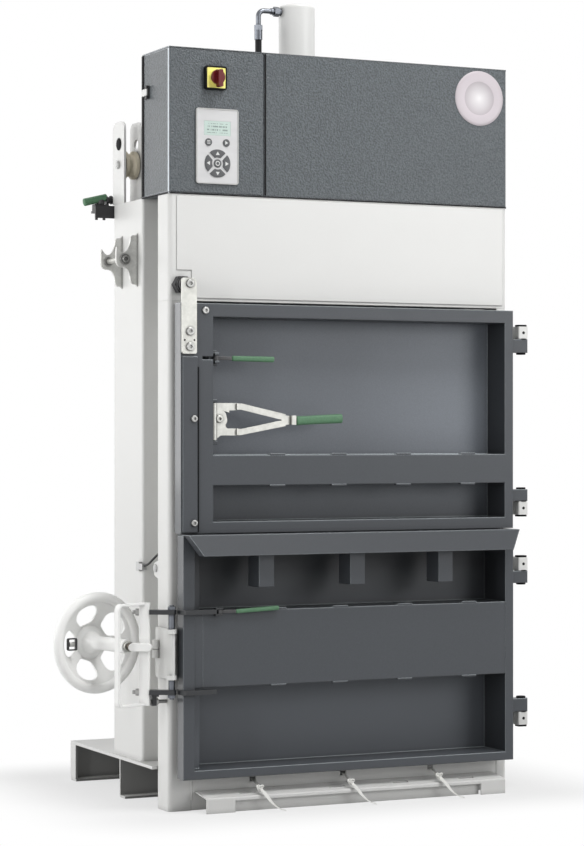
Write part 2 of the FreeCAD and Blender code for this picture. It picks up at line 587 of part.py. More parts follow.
def deflector():
    """Sloping lip on the lower door: trapezoid front, returns at its ends and a shelf back to the door."""
    top, low = LOWER_HIGH + 4, 664.0
    outer = loft((-456, 456, -121, -89, low), (-489, 489, -97, LOWER_FRONT, top))
    slope = (121 - 97) / (top - low)
    inner = loft((-452 + 1.2, 452 - 1.2, -117 - 2 * slope, 0, low - 2), (-485, 485, -93, 0, top - 4))
    shelf = box(-489, 489, LOWER_FRONT - 6, LOWER_FRONT + 39, LOWER_HIGH, top)
    save("deflector_lip", join(outer.cut(inner), shelf))


def lock_lugs():
    """Grey lug plates on the lower door in line with the lock's levers."""
    lugs = []
    for z in LEVER_HEIGHTS:
        outline = [
            (-487.0, LOWER_FRONT - 14, 5),
            (-398.0, LOWER_FRONT - 14, 7),
            (-398.0, LOWER_FRONT, 0),
            (-489.0, LOWER_FRONT, 0),
            (-489.0, -28, 0),
            (-495.5, -28, 0),
            (-495.5, -50, 0),
        ]
        lugs.append(plate_xy(outline, z, z + LEVER_THICK))
    lugs[1] = join(lugs[1], lower_lever())
    save("lock_lugs", *lugs)


def safety_bar():
    x0, x1 = -492.0, -451.0
    back, front = UPPER_FRONT, UPPER_FRONT - 8.0
    bar = plate_xz([(x0, 1183, 5), (x1, 1183, 5), (x1, 1378, 12), (x0, 1378, 5)], front, back)
    marks = [cyl((x, front - 1, 1218), (0, 1, 0), 2.5, 20) for x in (-485, -458)]
    save("safety_bar", bar.cut(marks))
    screws = [cap_screw((-470, front, z), (0, -1, 0), 11, 5) for z in (1363.5, 1240.6, 1201.0)]
    screws.append(cap_screw((-423.5, UPPER_FRONT, 1295.7), (0, -1, 0), 9.5, 5))
    screws += [cap_screw((-457.0, UPPER_FRONT - 4, z), (0, -1, 0), 9.0, 5) for z in (1016, 747.5)]
    save("door_screws", *screws)
    knob_x, knob_z = -472.0, 1363.0
    body = hexagon((knob_x, 0, knob_z), (0, -1, 0), 42, 22)
    ring = cyl((knob_x, -22, knob_z), (0, -1, 0), 20, 8)
    step = cyl((knob_x, -30, knob_z), (0, -1, 0), 16.5, 4)
    nose = cyl((knob_x, -34, knob_z), (0, -1, 0), 18.5, 8)
    save("safety_switch", join(body, ring, step, nose))


# ---- levers on the doors -------------------------------------------------------------------------
def grip(x0, x1, y, z, height, thick):
    """Moulded grip: a long rounded bar, slightly thicker at its far end."""
    near, far = height * 0.42, height / 2
    body = plate_xz([(x0, z - near, 4), (x1, z - far, 5), (x1, z + far, 5), (x0, z + near, 4)],
                    y - thick / 2, y + thick / 2)
    rims = [edge for edge in body.Edges if abs(abs(edge.CenterOfMass.y - y) - thick / 2) < 0.01]
    return body.makeFillet(2.5, rims)


HANDLE_X, HANDLE_Y, HANDLE_Z = -396.0, -34.0, 1013.0
LOWER_LEVER_X = -390.0
SMALL_LEVER_Z = {"upper": 1173.0, "lower": 519.0}


def fork_handle():
    """V-shaped handle: a bracket with a round lobe, two arms that meet, and a green grip."""
    x, y, z = HANDLE_X + 6, HANDLE_Y, HANDLE_Z
    t = 8.0
    bracket = plate_xz(
        [
            (x, z - 52, 0),
            (x + 16, z - 40, 4),
            (x + 72, z - 40, 2),
            (x + 72, z - 22, 2),
            (x + 22, z - 22, 8),
            (x + 36, z - 4, 14),
            (x + 30, z + 22, 14),
            (x + 22, z + 24, 3),
            (x + 72, z + 26, 2),
            (x + 72, z + 44, 2),
            (x, z + 44, 0),
        ],
        y - t / 2,
        y + t / 2,
    )
    hub = cyl((x - 1, y, z - 52), (0, 0, 1), 8, 96).cut(cyl((x - 1, y, z - 53), (0, 0, 1), 4 + RUNNING, 98))
    arms = []
    for root_z, tip_z in ((z + 35, z + 7), (z - 31, z - 7)):
        outline = [(x + 60, root_z - 8, 2), (x + 60, root_z + 8, 2), (x + 74, root_z + 8, 3),
                   (x + 200, tip_z + 8.5, 0), (x + 200, tip_z - 8.5, 0), (x + 72, root_z - 8, 3)]
        arms.append(plate_xz(outline, y - t / 2 - 5, y - t / 2))
    outline = [(x + 188, z - 14, 3), (x + 188, z + 14, 3), (x + 214, z + 11, 2), (x + 214, z - 11, 2)]
    neck = plate_xz(outline, y - t / 2 - 5, y - t / 2)
    clamp = rounded_box(x + 214, x + 228, y - 18, y + 2, z - 12, z + 12, 2)
    tang = box(x + 228, x + 352, y - 11, y - 5, z - 7, z + 7)
    bolt = cap_screw((x + 12, y - t / 2, z + 3), (0, -1, 0), 10, 6)
    bracket = bracket.cut(cyl((x - 1, y, z - 60), (0, 0, 1), 7, 120))
    save("fork_handle", join(bracket, hub, bolt, *arms, neck, clamp, tang))
    body = grip(x + 228.3, x + 366, y - 8, z + 1, 25, 20)
    save("fork_handle_grip", body.cut(box(x + 220, x + 352.3, y - 11.2, y - 4.8, z - 7.2, z + 7.2)))
    pin = join(
        cyl((x - 1, y, z - 60), (0, 0, 1), 4, 112),
        box(x - 6.0, x + 6, y - 5, y + 9, z + 46, z + 54),
        box(x - 6.0, x + 6, y - 5, y + 9, z - 64, z - 54),
    )
    ends = ((z + 46, z + 54), (z - 64, z - 54))
    stand = [box(PAN_LEFT, x + 6, y + 5, y + 12, low, high) for low, high in ends]
    return join(pin, *stand)


def small_lever(which, pivot_x, front, grip_x, z):
    """Flat arm on an upright pin, dipped in a slim soft grip."""
    y = front + 12.0
    blade = [(pivot_x, z - 5, 0), (grip_x + 90, z - 5, 2), (grip_x + 90, z + 5, 2), (pivot_x, z + 5, 0)]
    arm = join(cyl((pivot_x, y, z - 6), (0, 0, 1), 7, 12), plate_xz(blade, y - 3, y + 3))
    arm = arm.cut(cyl((pivot_x, y, z - 10), (0, 0, 1), 3 + RUNNING, 20))
    save(f"{which}_hand_lever", join(arm, grip(grip_x, grip_x + 106, y, z, 17, 15)))
    post = join(
        cyl((pivot_x, y, z - 14), (0, 0, 1), 3, 28),
        box(pivot_x - 6, pivot_x + 6, y - 6, y + 16, z + 6.6, z + 14),
        box(pivot_x - 6, pivot_x + 6, y - 6, y + 16, z - 14, z - 6.6),
        box(pivot_x - 6, pivot_x + 6, y + 10, y + 16, z - 14, z + 14),
    )
    return post


def levers():
    """The two levers on the upper door; returns what is welded to the door for them."""
    upper_stands = [fork_handle()]
    post = small_lever("upper", PAN_LEFT + 14, UPPER_FRONT, PAN_LEFT + 62, SMALL_LEVER_Z["upper"])
    plate = box(PAN_LEFT, PAN_LEFT + 20, UPPER_FRONT + 22, UPPER_FRONT + 28, 1153, 1193)
    upper_stands.append(join(post, plate))
    return upper_stands


def lower_lever():
    """Lever on the upper lug plate's end, in front of the rib; returns its fork and pin for the lug."""
    x, y, z = LOWER_LEVER_X, LOWER_FRONT - 8.0, SMALL_LEVER_Z["lower"]
    blade = [(x, z - 4.5, 0), (x + 150, z - 4.5, 2), (x + 150, z + 4.5, 2), (x, z + 4.5, 0)]
    arm = join(cyl((x, y, z - 5.5), (0, 0, 1), 6, 11), plate_xz(blade, y - 2.5, y + 2.5))
    arm = arm.cut(cyl((x, y, z - 10), (0, 0, 1), 3 + RUNNING, 20))
    save("lower_hand_lever", join(arm, grip(x + 57, x + 163, y, z, 15, 12)))
    ears = [box(x - 14, x + 7, y - 6, y + 6, z0, z1) for z0, z1 in ((z + 6, z + 10), (z - 10, z - 6))]
    return join(cyl((x, y, z - 10), (0, 0, 1), 3, 20), *ears)


# ---- door lock -----------------------------------------------------------------------------------
def lock():
    span = hypot(LOCK_X - BAR_X, LOCK_Y - BAR_Y)
    ux, uy = (LOCK_X - BAR_X) / span, (LOCK_Y - BAR_Y) / span  # from the bar to the pivot
    lean = degrees(atan2(uy, ux))

    def along_lever(shape):
        """From a frame with X along the lever and its origin at the bar's centre."""
        return moved(turn(shape, lean), BAR_X, BAR_Y)

    bracket = plate_yz([(-44, 345, 10), (70, 345, 8), (70, 475, 8), (-44, 475, 10)], -512, -FRAME_HALF)
    ears = [cyl((LOCK_X, LOCK_Y, z), (0, 0, 1), 13, 12) for z in (345, 463)]  # one at each end of the plate
    knuckles = [cyl((-519.5, 50, z), (0, 0, 1), 9, 22) for z in (395, 420)]
    bores = [cyl((LOCK_X, LOCK_Y, z - 1), (0, 0, 1), 6 + RUNNING, 14) for z in (345, 463)]
    save("lock_bracket", join(bracket, *ears, *knuckles).cut(bores))
    bolts = []
    for z, up in ((LEVER_HEIGHTS[1], 1), (LEVER_HEIGHTS[0], -1)):
        inner = 463 if up > 0 else 357
        outer = z + LEVER_THICK + 12 if up > 0 else z - 12
        seat = 475 if up > 0 else 345
        near = z - 0.4 if up > 0 else z + LEVER_THICK + 0.4
        far = z + LEVER_THICK + 0.4 if up > 0 else z - 0.4
        shank = cyl((LOCK_X, LOCK_Y, min(inner, outer)), (0, 0, 1), 6, abs(outer - inner))
        collar = cyl((LOCK_X, LOCK_Y, min(seat, near)), (0, 0, 1), 8.5, abs(near - seat))
        nut = hexagon((LOCK_X, LOCK_Y, far if up > 0 else far - 8), (0, 0, 1), 19, 8)
        bolts.append(join(shank, collar, nut))
    save("lock_pivot_bolts", *bolts)

    bar_half, bar_thick = 14.0, 9.0
    bar = along_lever(rounded_box(-bar_half, bar_half, -bar_thick, bar_thick, 279, 543, 3))
    ends = [(-38, -10, 9.8), (21, -10, 9.8), (21, 10, 9.8), (-38, 10, 9.8)]
    boss = along_lever(moved(plate_xz(ends, -29, -9), 0, 0, WHEEL_Z))
    bow_reach, bow_flat, bow_thick = 97.0, 16.0, 6.0
    section = folded([(0, 279), (bow_reach, 279), (bow_reach, 543), (0, 543)], bow_thick, 10)
    bow = plate_xz([(u, v, r) for u, v, r in section], -bow_flat / 2, bow_flat / 2)
    bow = moved(turn(bow, 180 + 21.0), BAR_X, BAR_Y)
    stud_hole = cyl((-bar_half - 1, 0, 6), (1, 0, 0), 5 + RUNNING, 2 * bar_half + 2)
    stud_holes = [along_lever(moved(stud_hole, z=z)) for z in LEVER_HEIGHTS]
    levers_made, studs = [], []
    for z in LEVER_HEIGHTS:
        arm = along_lever(box(bar_half, span, -12, 12, z, z + LEVER_THICK))
        eye = cyl((LOCK_X, LOCK_Y, z), (0, 0, 1), 12, LEVER_THICK)
        bore = cyl((LOCK_X, LOCK_Y, z - 1), (0, 0, 1), 6 + RUNNING, LEVER_THICK + 2)
        levers_made.append(join(arm, eye).cut(bore))
        stud = along_lever(cyl((-bar_half - 17, 0, z + 6), (1, 0, 0), 5, 2 * bar_half + 17))
        nut = along_lever(hexagon((-bar_half - 9, 0, z + 6), (1, 0, 0), 16, 9))
        studs.append(join(stud, nut))
    stop_y = 12.0
    tab = box(-548, -536, stop_y - 9, stop_y + 9, 276, 307)
    link = plate_xy([(-552, -4, 2), (-536, -16, 2), (-536, stop_y + 9, 2), (-552, stop_y + 9, 2)], 301, 307)
    stop_screw = join(
        cyl((-558, stop_y, 286), (1, 0, 0), 5, 52),
        hexagon((-558, stop_y, 286), (1, 0, 0), 15, 6),
        hexagon((-536, stop_y, 286), (1, 0, 0), 15, 7),
    )
    levers_made[0] = join(levers_made[0], tab, link).cut(cyl((-562, stop_y, 286), (1, 0, 0), 5 + RUNNING, 56))
    save("lock_levers", *levers_made)
    save("lock_studs", *studs, stop_screw)

    ax, ay = -sin(radians(SPINDLE_TILT)), cos(radians(SPINDLE_TILT))

    def along_spindle(shape, at):
        """From a frame with Z along the spindle and its origin at a distance from the spindle's root."""
        placed = shape.copy()
        turned = FreeCAD.Rotation(V(0, 0, 1), SPINDLE_TILT).multiply(FreeCAD.Rotation(V(1, 0, 0), -90))
        placed.Placement = FreeCAD.Placement(
            V(SPINDLE_X + ax * at, SPINDLE_Y + ay * at, WHEEL_Z), turned
        ).multiply(placed.Placement)
        return placed

    spindle = along_spindle(Part.makeCylinder(8, 190), -4)
    save("lock_bow", join(bar, boss, bow, spindle).cut(stud_holes))
    sleeve_start = 30.0
    sleeve = Part.makeCylinder(18, HUB_AT - sleeve_start)
    sleeve.translate(V(0, 0, sleeve_start - HUB_AT))
    profile = Part.makePolygon([
        V(0, 0, 12), V(20, 0, 11), V(34, 0, 5), V(WHEEL_R - 4, 0, -DISH + 4), V(WHEEL_R - 4, 0, -DISH - 5),
        V(44, 0, -6), V(30, 0, -14), V(18, 0, -40), V(0, 0, -40), V(0, 0, 14)])
    dish = Part.Face(profile).revolve(V(0, 0, 0), V(0, 0, 1), 360)
    rim = Part.makeTorus(WHEEL_R, RIM_R)
    rim.translate(V(0, 0, -DISH))
    windows = []
    for k in range(5):
        windows.append(turn(spoke_window(), 36 + 72 * k))
    wheel = join(dish.cut(windows), rim, sleeve)
    bore = Part.makeCylinder(8 + RUNNING, HUB_AT - 10)
    bore.translate(V(0, 0, -HUB_AT))
    save("handwheel", along_spindle(wheel.cut(bore), HUB_AT))
    collar = Part.makeCylinder(14, 7).cut(Part.makeCylinder(8 + RUNNING, 7))
    save("thrust_collar", along_spindle(collar, sleeve_start - 8))


def spoke_window():
    """Rounded window between two spokes, as a tall cutter centred on the local +X direction."""
    inner_r, outer_r = 52.0, WHEEL_R - RIM_R - 9
    half_spoke = 14.0
    corners = []
    outline = ((inner_r, -1, 13), (outer_r, -1, 20), (outer_r + 6, 0, 60), (outer_r, 1, 20), (inner_r, 1, 13))
    for radius, side, fillet in outline:
        angle = side * (radians(36) - half_spoke / radius)
        corners.append((radius * cos(angle), radius * sin(angle), fillet))
    return moved(plate_xy(corners, -80, 60))


# ---- side of the machine -------------------------------------------------------------------------
def star(x0, x1, y, z, half_y, half_z):
    """Four-armed plate with round ends, in the plane of Y and Z."""
    arms = []
    for side in (-1, 1):
        y0, z0, y1, z1 = y - half_y, z - side * half_z, y + half_y, z + side * half_z
        length = hypot(y1 - y0, z1 - z0)
        ny, nz = -(z1 - z0) / length * 11, (y1 - y0) / length * 11
        outline = [(y0 + ny, z0 + nz, 8), (y1 + ny, z1 + nz, 8), (y1 - ny, z1 - nz, 8), (y0 - ny, z0 - nz, 8)]
        arms.append(plate_yz(outline, x0, x1))
    return join(*arms, cyl((x0, y, z), (1, 0, 0), 22, x1 - x0))


def side_fittings():
    rack_y, rack_z = 282.0, 1444.0
    outer_x = -566.0
    rack = join(
        star(-510, -FRAME_HALF, rack_y, rack_z, 54, 50),
        star(outer_x, outer_x + 6, rack_y, rack_z - 3, 50, 58),
        cyl((outer_x, rack_y, rack_z), (1, 0, 0), 9, -FRAME_HALF - outer_x),
        hexagon((outer_x, rack_y, rack_z), (-1, 0, 0), 17, 7),
    )
    save("cable_rack", rack)
    plates = []
    roller_y, roller_z = 350.0, 1706.0
    outline = [(311, HEADER_HIGH, 0), (393, HEADER_HIGH, 0), (393, 1822, 22), (311, 1822, 22)]
    for x0 in (-FRAME_HALF, -454.0):
        plate = plate_yz(outline, x0, x0 + 6)
        plates.append(plate.cut(cyl((x0 - 1, 348, 1762), (1, 0, 0), 14.5, 8)))
    axle = cyl((-512, roller_y, roller_z), (1, 0, 0), 6, 72)
    nuts = [hexagon((x, roller_y, roller_z), (1, 0, 0), 19, 7) for x in (-511, -448)]
    save("roller_stand", join(axle, *nuts, *plates))
    roller = cyl((-495, roller_y, roller_z), (1, 0, 0), 38, 38)
    groove = Part.makeTorus(42, 11, V(-476, roller_y, roller_z), V(1, 0, 0))
    bore = cyl((-496, roller_y, roller_z), (1, 0, 0), 6 + RUNNING, 42)
    save("ejector_roller", roller.cut([groove, bore]))
    z0 = 1584.0
    bracket = join(box(-556, -470, COLUMN_REAR, COLUMN_REAR + 6, z0 - 20, z0 + 14),
                   box(-556, -512, COLUMN_REAR + 6, COLUMN_REAR + 34, z0 - 6, z0))
    housing = box(-554, -514, COLUMN_REAR + 8, COLUMN_REAR + 32, z0, z0 + 18)
    pivot = (-534, COLUMN_REAR + 20)
    post = join(cyl((*pivot, z0 + 18), (0, 0, 1), 6, 20), hexagon((*pivot, z0 + 31.5), (0, 0, 1), 17, 6))
    arm = join(cyl((*pivot, z0 + 18.4), (0, 0, 1), 11, 12.6),
               box(pivot[0] - 40, pivot[0], pivot[1] - 4, pivot[1] + 4, z0 + 20, z0 + 29))
    arm = arm.cut(cyl((*pivot, z0 + 18), (0, 0, 1), 6 + RUNNING, 20))
    save("clamp_lever", join(arm, grip(pivot[0] - 76, pivot[0] - 24, pivot[1], z0 + 28.5, 17, 16)))
    bolts = [cyl((x, COLUMN_REAR + 20, z0 - 24), (0, 0, 1), 4, 18) for x in (-546, -524)]
    save("clamp_bracket", join(bracket, housing, post, *bolts))
    sensor_z = SENSOR_Z
    sensor = join(box(-513, -FRAME_HALF, 183, 203, sensor_z - 12, sensor_z + 12),
                  box(-513, -FRAME_HALF + 4, 160, COLUMN_FRONT, sensor_z - 8, sensor_z + 8),
                  box(-513, -FRAME_HALF, COLUMN_FRONT - 1, 184, sensor_z - 8, sensor_z + 8))
    lift = sensor_z + 41
    route = [(-506, 160, sensor_z + 2), (-503, 140, sensor_z + 8), (-496, 117, sensor_z + 25),
             (-487, 98, lift), (-487, 78, lift)]
    cable = tube(route, 3)
    bush = join(cyl((-509, 86, sensor_z), (1, 0, 0), 6, 10), cyl((-508, 86, sensor_z), (1, 0, 0), 10, 4))
    save("door_sensor", join(sensor, cable), bush)


# ---- discharge and straps ------------------------------------------------------------------------
def discharge():
    left, right, front = -430.0, 455.0, -77.0
    flap = plate_yz(folded([(front, 0), (front, 40), (-0.0, 50)], -4, 4), left, right)
    flap = flap.cut([box(-349, 380, front - 1, front + 4.0, -1, 30), box(left, right, 0, 9, 0, 90)])
    slots = [box(x - 24, x + 24, -50, -38, 30, 60) for x in (-300, -40, 150, 350)]
    lip = box(-349, 380, -62, -58, 0.0, 40)
    save("discharge_flap", join(flap.cut(slots), lip))
    pin_y, pin_z = EJECTOR_Y, EJECTOR_Z
    save("ejector_pin", cyl((-382, pin_y, pin_z), (1, 0, 0), 5, 764))
    sheet = box(-386, 386, pin_y + 12, 488, pin_z - 8, pin_z - 2)
    sheet = sheet.cut([box(x - 12, x + 12, pin_y, 490, pin_z - 4, pin_z) for x in TWINE_X])
    leaves = []
    for x0, x1 in ((-356, -14), (14, 356)):
        knuckle = cyl((x0, pin_y, pin_z), (1, 0, 0), 8, x1 - x0)
        leaves.append(join(knuckle, box(x0, x1, pin_y, pin_y + 14, pin_z - 8, pin_z - 2)))
    bore = cyl((-390, pin_y, pin_z), (1, 0, 0), 5 + RUNNING, 780)
    save("ejector_plate", join(sheet, *leaves).cut(bore))
    reel_y, reel_z = 590.0, 470.0
    wall = CHAMBER_REAR + CHAMBER_WALL
    sides = [box(x - 3, x + 3, wall, reel_y + 30, reel_z - 30, reel_z + 30) for x in (-360, 360)]
    save("reel_stand", join(*sides, cyl((-368, reel_y, reel_z), (1, 0, 0), 8, 736)))
    reels = []
    for x in TWINE_X:
        flanges = [cyl((start, reel_y, reel_z), (1, 0, 0), 55, 3) for start in (x - 18, x + 15)]
        drum = join(*flanges, cyl((x - 18, reel_y, reel_z), (1, 0, 0), 44, 36))
        reels.append(drum.cut(cyl((x - 20, reel_y, reel_z), (1, 0, 0), 8 + RUNNING, 44)))
    save("strap_reels", *reels)


STRAP_POINTS = ((0, 5, 72), (-2, -22, 67), (-6, -48, 60), (-10, -72, 56), (-2, -92, 40), (10, -101, 20),
                (27, -107, 6.0), (44, -110, 3.0))


def straps():
    for name, x in zip(("left_strap", "middle_strap", "right_strap"), TWINE_X):
        save(name, tube([(x + dx, y, z) for dx, y, z in STRAP_POINTS], 2.5))


# ---- build everything ----------------------------------------------------------------------------
def main():
    base()
    front_frame()
    columns_and_chamber()
    press()
    hydraulics()
    hood()
    control_panel()
    doors(levers())
    deflector()
    lock_lugs()
    safety_bar()
    lock()
    side_fittings()
    discharge()
    straps()
    os.makedirs("parts", exist_ok=True)
    for name, shape in NODES.items():
        if not shape.isValid():
            print("not valid:", name)
        solids = shape.Solids
        print(name, len(solids), "solid" + "s" * (len(solids) > 1), round(shape.Volume / 1000, 1), "cm3")
        shape.exportStep(f"parts/{name}.step")
    print(len(NODES), "nodes")


main()
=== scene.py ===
"""Looks of the upright recycling baler: a finish for each piece of its construction, and the pieces that are
all surface.

Everything is in metres in the construction's own frame: +Z up, the doors face -Y, and the origin lies on the
floor under the press cylinder. New pieces are worked out in the drawing's millimetres, whose Y is 0 on the
frame's front face.
"""

import json
import math

import bmesh
import bpy
import numpy as np
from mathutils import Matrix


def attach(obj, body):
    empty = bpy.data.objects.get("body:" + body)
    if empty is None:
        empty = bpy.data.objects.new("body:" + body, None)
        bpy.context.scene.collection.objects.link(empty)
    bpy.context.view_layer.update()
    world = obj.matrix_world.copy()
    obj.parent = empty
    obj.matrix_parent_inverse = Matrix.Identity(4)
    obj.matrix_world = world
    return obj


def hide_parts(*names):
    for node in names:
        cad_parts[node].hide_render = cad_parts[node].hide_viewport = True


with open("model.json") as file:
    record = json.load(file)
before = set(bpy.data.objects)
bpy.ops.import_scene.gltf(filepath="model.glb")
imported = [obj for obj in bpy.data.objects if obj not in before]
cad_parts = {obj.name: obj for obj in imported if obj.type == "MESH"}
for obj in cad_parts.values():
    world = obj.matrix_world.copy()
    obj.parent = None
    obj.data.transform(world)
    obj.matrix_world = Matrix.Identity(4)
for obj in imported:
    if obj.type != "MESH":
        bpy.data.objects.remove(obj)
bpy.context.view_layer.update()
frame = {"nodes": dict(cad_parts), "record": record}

MM = 0.001
FRONT = -286 * MM  # the frame's front face, seen from the ram's axis

# Places in drawing millimetres
FRAME_HALF = 504  # half the width of the frame
TWINES = {"left": -265, "middle": 0, "right": 265}  # X of each strap
KEYPAD = (-368, 1681.5)  # X and Z of the middle of the fan keys
ROUND_KEYS = (-393.5, -343.0, 1736.0)  # X of the left and of the right round key, and their Z
DISPLAY = (-368, 1773)  # X and Z of its middle
SWITCH = (-374.4, -6.4, 1903.2)
DISC, DISC_BAND, DISC_RIM = (417.2, 0, 1896.7), 46, 75  # its middle, and the reach of its band's two edges
HINGE_AXIS = (535, -25)
REEL_Y, REEL_Z, REEL_R, REEL_HALF = 590, 470, 44.15, 14.4
SENSOR_Z = 626
SPINDLE_ROOT, SPINDLE_LEAN = (-602, -4, 430), math.radians(12.1)
SPINDLE_WAY = np.array((-math.sin(SPINDLE_LEAN), math.cos(SPINDLE_LEAN), 0))
SPINDLE_SIDE = np.array((math.cos(SPINDLE_LEAN), math.sin(SPINDLE_LEAN), 0))
UP = np.array((0.0, 0.0, 1.0))
POLE = 0.02  # radius at which a turned shape is closed on its axis


# ---- finishes ----
class Value:
    """One output of a graph's nodes. Arithmetic on it adds the nodes that work it out."""

    def __init__(self, graph, socket):
        self.graph = graph
        self.socket = socket

    def worked(self, operation, other, reflected=False):
        first, second = (other, self) if reflected else (self, other)
        wide = any(isinstance(v, Value) and v.socket.type in ("VECTOR", "RGBA") for v in (first, second))
        kind = "ShaderNodeVectorMath" if wide else "ShaderNodeMath"
        return self.graph.node(kind, {"operation": operation}, {0: first, 1: second})

    def __add__(self, other):
        return self.worked("ADD", other)

    def __radd__(self, other):
        return self.worked("ADD", other, True)

    def __sub__(self, other):
        return self.worked("SUBTRACT", other)

    def __rsub__(self, other):
        return self.worked("SUBTRACT", other, True)

    def __mul__(self, other):
        return self.worked("MULTIPLY", other)

    def __rmul__(self, other):
        return self.worked("MULTIPLY", other, True)

    def __truediv__(self, other):
        return self.worked("DIVIDE", other)

    def __gt__(self, other):
        return self.worked("GREATER_THAN", other)

    def __lt__(self, other):
        return self.worked("LESS_THAN", other)

    def at_least(self, other):
        return self.worked("MAXIMUM", other)

    def at_most(self, other):
        return self.worked("MINIMUM", other)

    def power(self, other):
        return self.worked("POWER", other)

    def size(self):
        return self.worked("ABSOLUTE", 0.0)

    def waves(self, turn):
        """Ribs from 0 to 1, by the wave's radians in a metre."""
        return (self * turn).worked("SINE", 0.0) * 0.5 + 0.5

    def floored(self):
        return self.worked("FLOOR", 0.0)

    def diagonal(self, other):
        """The root of the sum of both squares."""
        return (self * self + other * other).power(0.5)

    def between(self, low, high):
        """0 at low and below, 1 at high and above, and a straight line between them."""
        sockets = {"Value": self, "From Min": low, "From Max": high}
        return self.graph.node("ShaderNodeMapRange", {"clamp": True}, sockets)


class Graph:
    """A tree of shader nodes, all made by the method node."""

    def __init__(self, tree):
        self.tree = tree

    def put(self, socket, value):
        if isinstance(value, Value):
            self.tree.links.new(value.socket, socket)
        elif socket.type == "RGBA":
            socket.default_value = (*value, 1.0) if len(value) == 3 else value
        elif socket.type == "VECTOR" and isinstance(value, (int, float)):
            socket.default_value = (value, value, value)
        else:
            socket.default_value = value

    def node(self, kind, settings=None, sockets=None, output=0):
        """Any node: its settings first, then the values or links of its sockets."""
        made = self.tree.nodes.new(kind)
        for setting, value in (settings or {}).items():
            setattr(made, setting, value)
        for socket, value in (sockets or {}).items():
            self.put(made.inputs[socket], value)
        return Value(self, made.outputs[output])

    def ends_in(self, output, shader):
        self.put(self.tree.nodes[output].inputs["Surface"], shader)

    def place(self):
        return self.node("ShaderNodeTexCoord", output="Object")

    def part(self, vector, axis):
        return self.node("ShaderNodeSeparateXYZ", sockets={0: vector}, output="XYZ".index(axis))

    def along(self, axis):
        """The surface point's X, Y or Z in metres."""
        return self.part(self.place(), axis)

    def looked_at(self):
        """1 where the camera, a reflection or glass looks, and 0 where a surface gathers its light."""
        kinds = ("Camera", "Glossy", "Transmission")
        rays = [self.node("ShaderNodeLightPath", output=f"Is {kind} Ray") for kind in kinds]
        return rays[0].at_least(rays[1]).at_least(rays[2])


class Finish(Graph):
    """A surface finish: one material round the standard shader."""

    def __init__(self, name, **fixed):
        self.material = bpy.data.materials.new(name)
        self.material.use_nodes = True
        super().__init__(self.material.node_tree)
        self.shader = self.tree.nodes["Principled BSDF"]
        for socket, value in fixed.items():
            self.set(socket.replace("_", " ").title().replace("Ior", "IOR"), value)

    def set(self, socket, value):
        self.put(self.shader.inputs[socket], value)

    def own_normal(self):
        """The way the surface faces, in its own piece's axes."""
        return self.node("ShaderNodeTexCoord", output="Normal")

    def facing(self, axis):
        """How far the surface faces along an axis of its own piece, from -1 to 1."""
        return self.part(self.own_normal(), axis)

    def noise(self, size, detail=2.0, stretch=(1, 1, 1)):
        """Cloudy pattern from 0 to 1 whose spots are about this many metres wide."""
        sockets = {"Vector": self.place() * stretch, "Scale": 1 / size, "Detail": detail}
        return self.node("ShaderNodeTexNoise", sockets=sockets)

    def cells(self, size):
        return self.node("ShaderNodeTexVoronoi", sockets={"Vector": self.place(), "Scale": 1 / size})

    def mixed(self, share, first, second):
        """first where share is 0, and second where it is 1."""
        settings = {"data_type": "RGBA"}
        return self.node("ShaderNodeMix", settings, {"Factor": share, 6: first, 7: second}, output=2)

    def rounded(self, edge):
        """The surface's direction with its edges rounded by a radius in metres."""
        return self.node("ShaderNodeBevel", {"samples": 6}, {"Radius": edge})

    def towards(self, normal, direction):
        settings, sockets = {"operation": "DOT_PRODUCT"}, {0: normal, 1: direction}
        return self.node("ShaderNodeVectorMath", settings, sockets, "Value")

    def painted_edge_light(self, edge, lit_from):
        """Painted highlight on edges of this radius leaning to the light, painted shade on those leaning away.
        """
        rounded = self.rounded(edge)
        flat = self.node("ShaderNodeNewGeometry", output="Normal")
        bent = self.towards(rounded, flat).between(0.995, 0.90)
        spaces = {"vector_type": "NORMAL", "convert_from": "WORLD", "convert_to": "OBJECT"}
        own = self.node("ShaderNodeVectorTransform", spaces, {"Vector": rounded})
        lean = self.towards(own, lit_from)
        return bent * lean.between(0.05, 0.30), bent * lean.between(-0.10, -0.45)

    def crevice_shade_and_dirt(self, reach, least):
        """1 in the open, down to least in corners narrower than reach: painted shade there, and some dirt."""
        open_share = self.node("ShaderNodeAmbientOcclusion", {"samples": 6}, {"Distance": reach}, "AO")
        return open_share * open_share * (1 - least) + least

    def done(self, colour, roughness, height, depth, edge):
        """The material, with bumps of a depth in metres over edges rounded by a radius in millimetres."""
        sockets = {"Height": height, "Distance": depth, "Strength": 1.0, "Normal": self.rounded(edge * MM)}
        self.set("Base Color", colour)
        self.set("Roughness", roughness)
        self.set("Normal", self.node("ShaderNodeBump", sockets=sockets))
        return self.material


def shade(colour, factor):
    return tuple(min(1.0, c * factor) for c in colour)


DUST = (0.46, 0.45, 0.43)


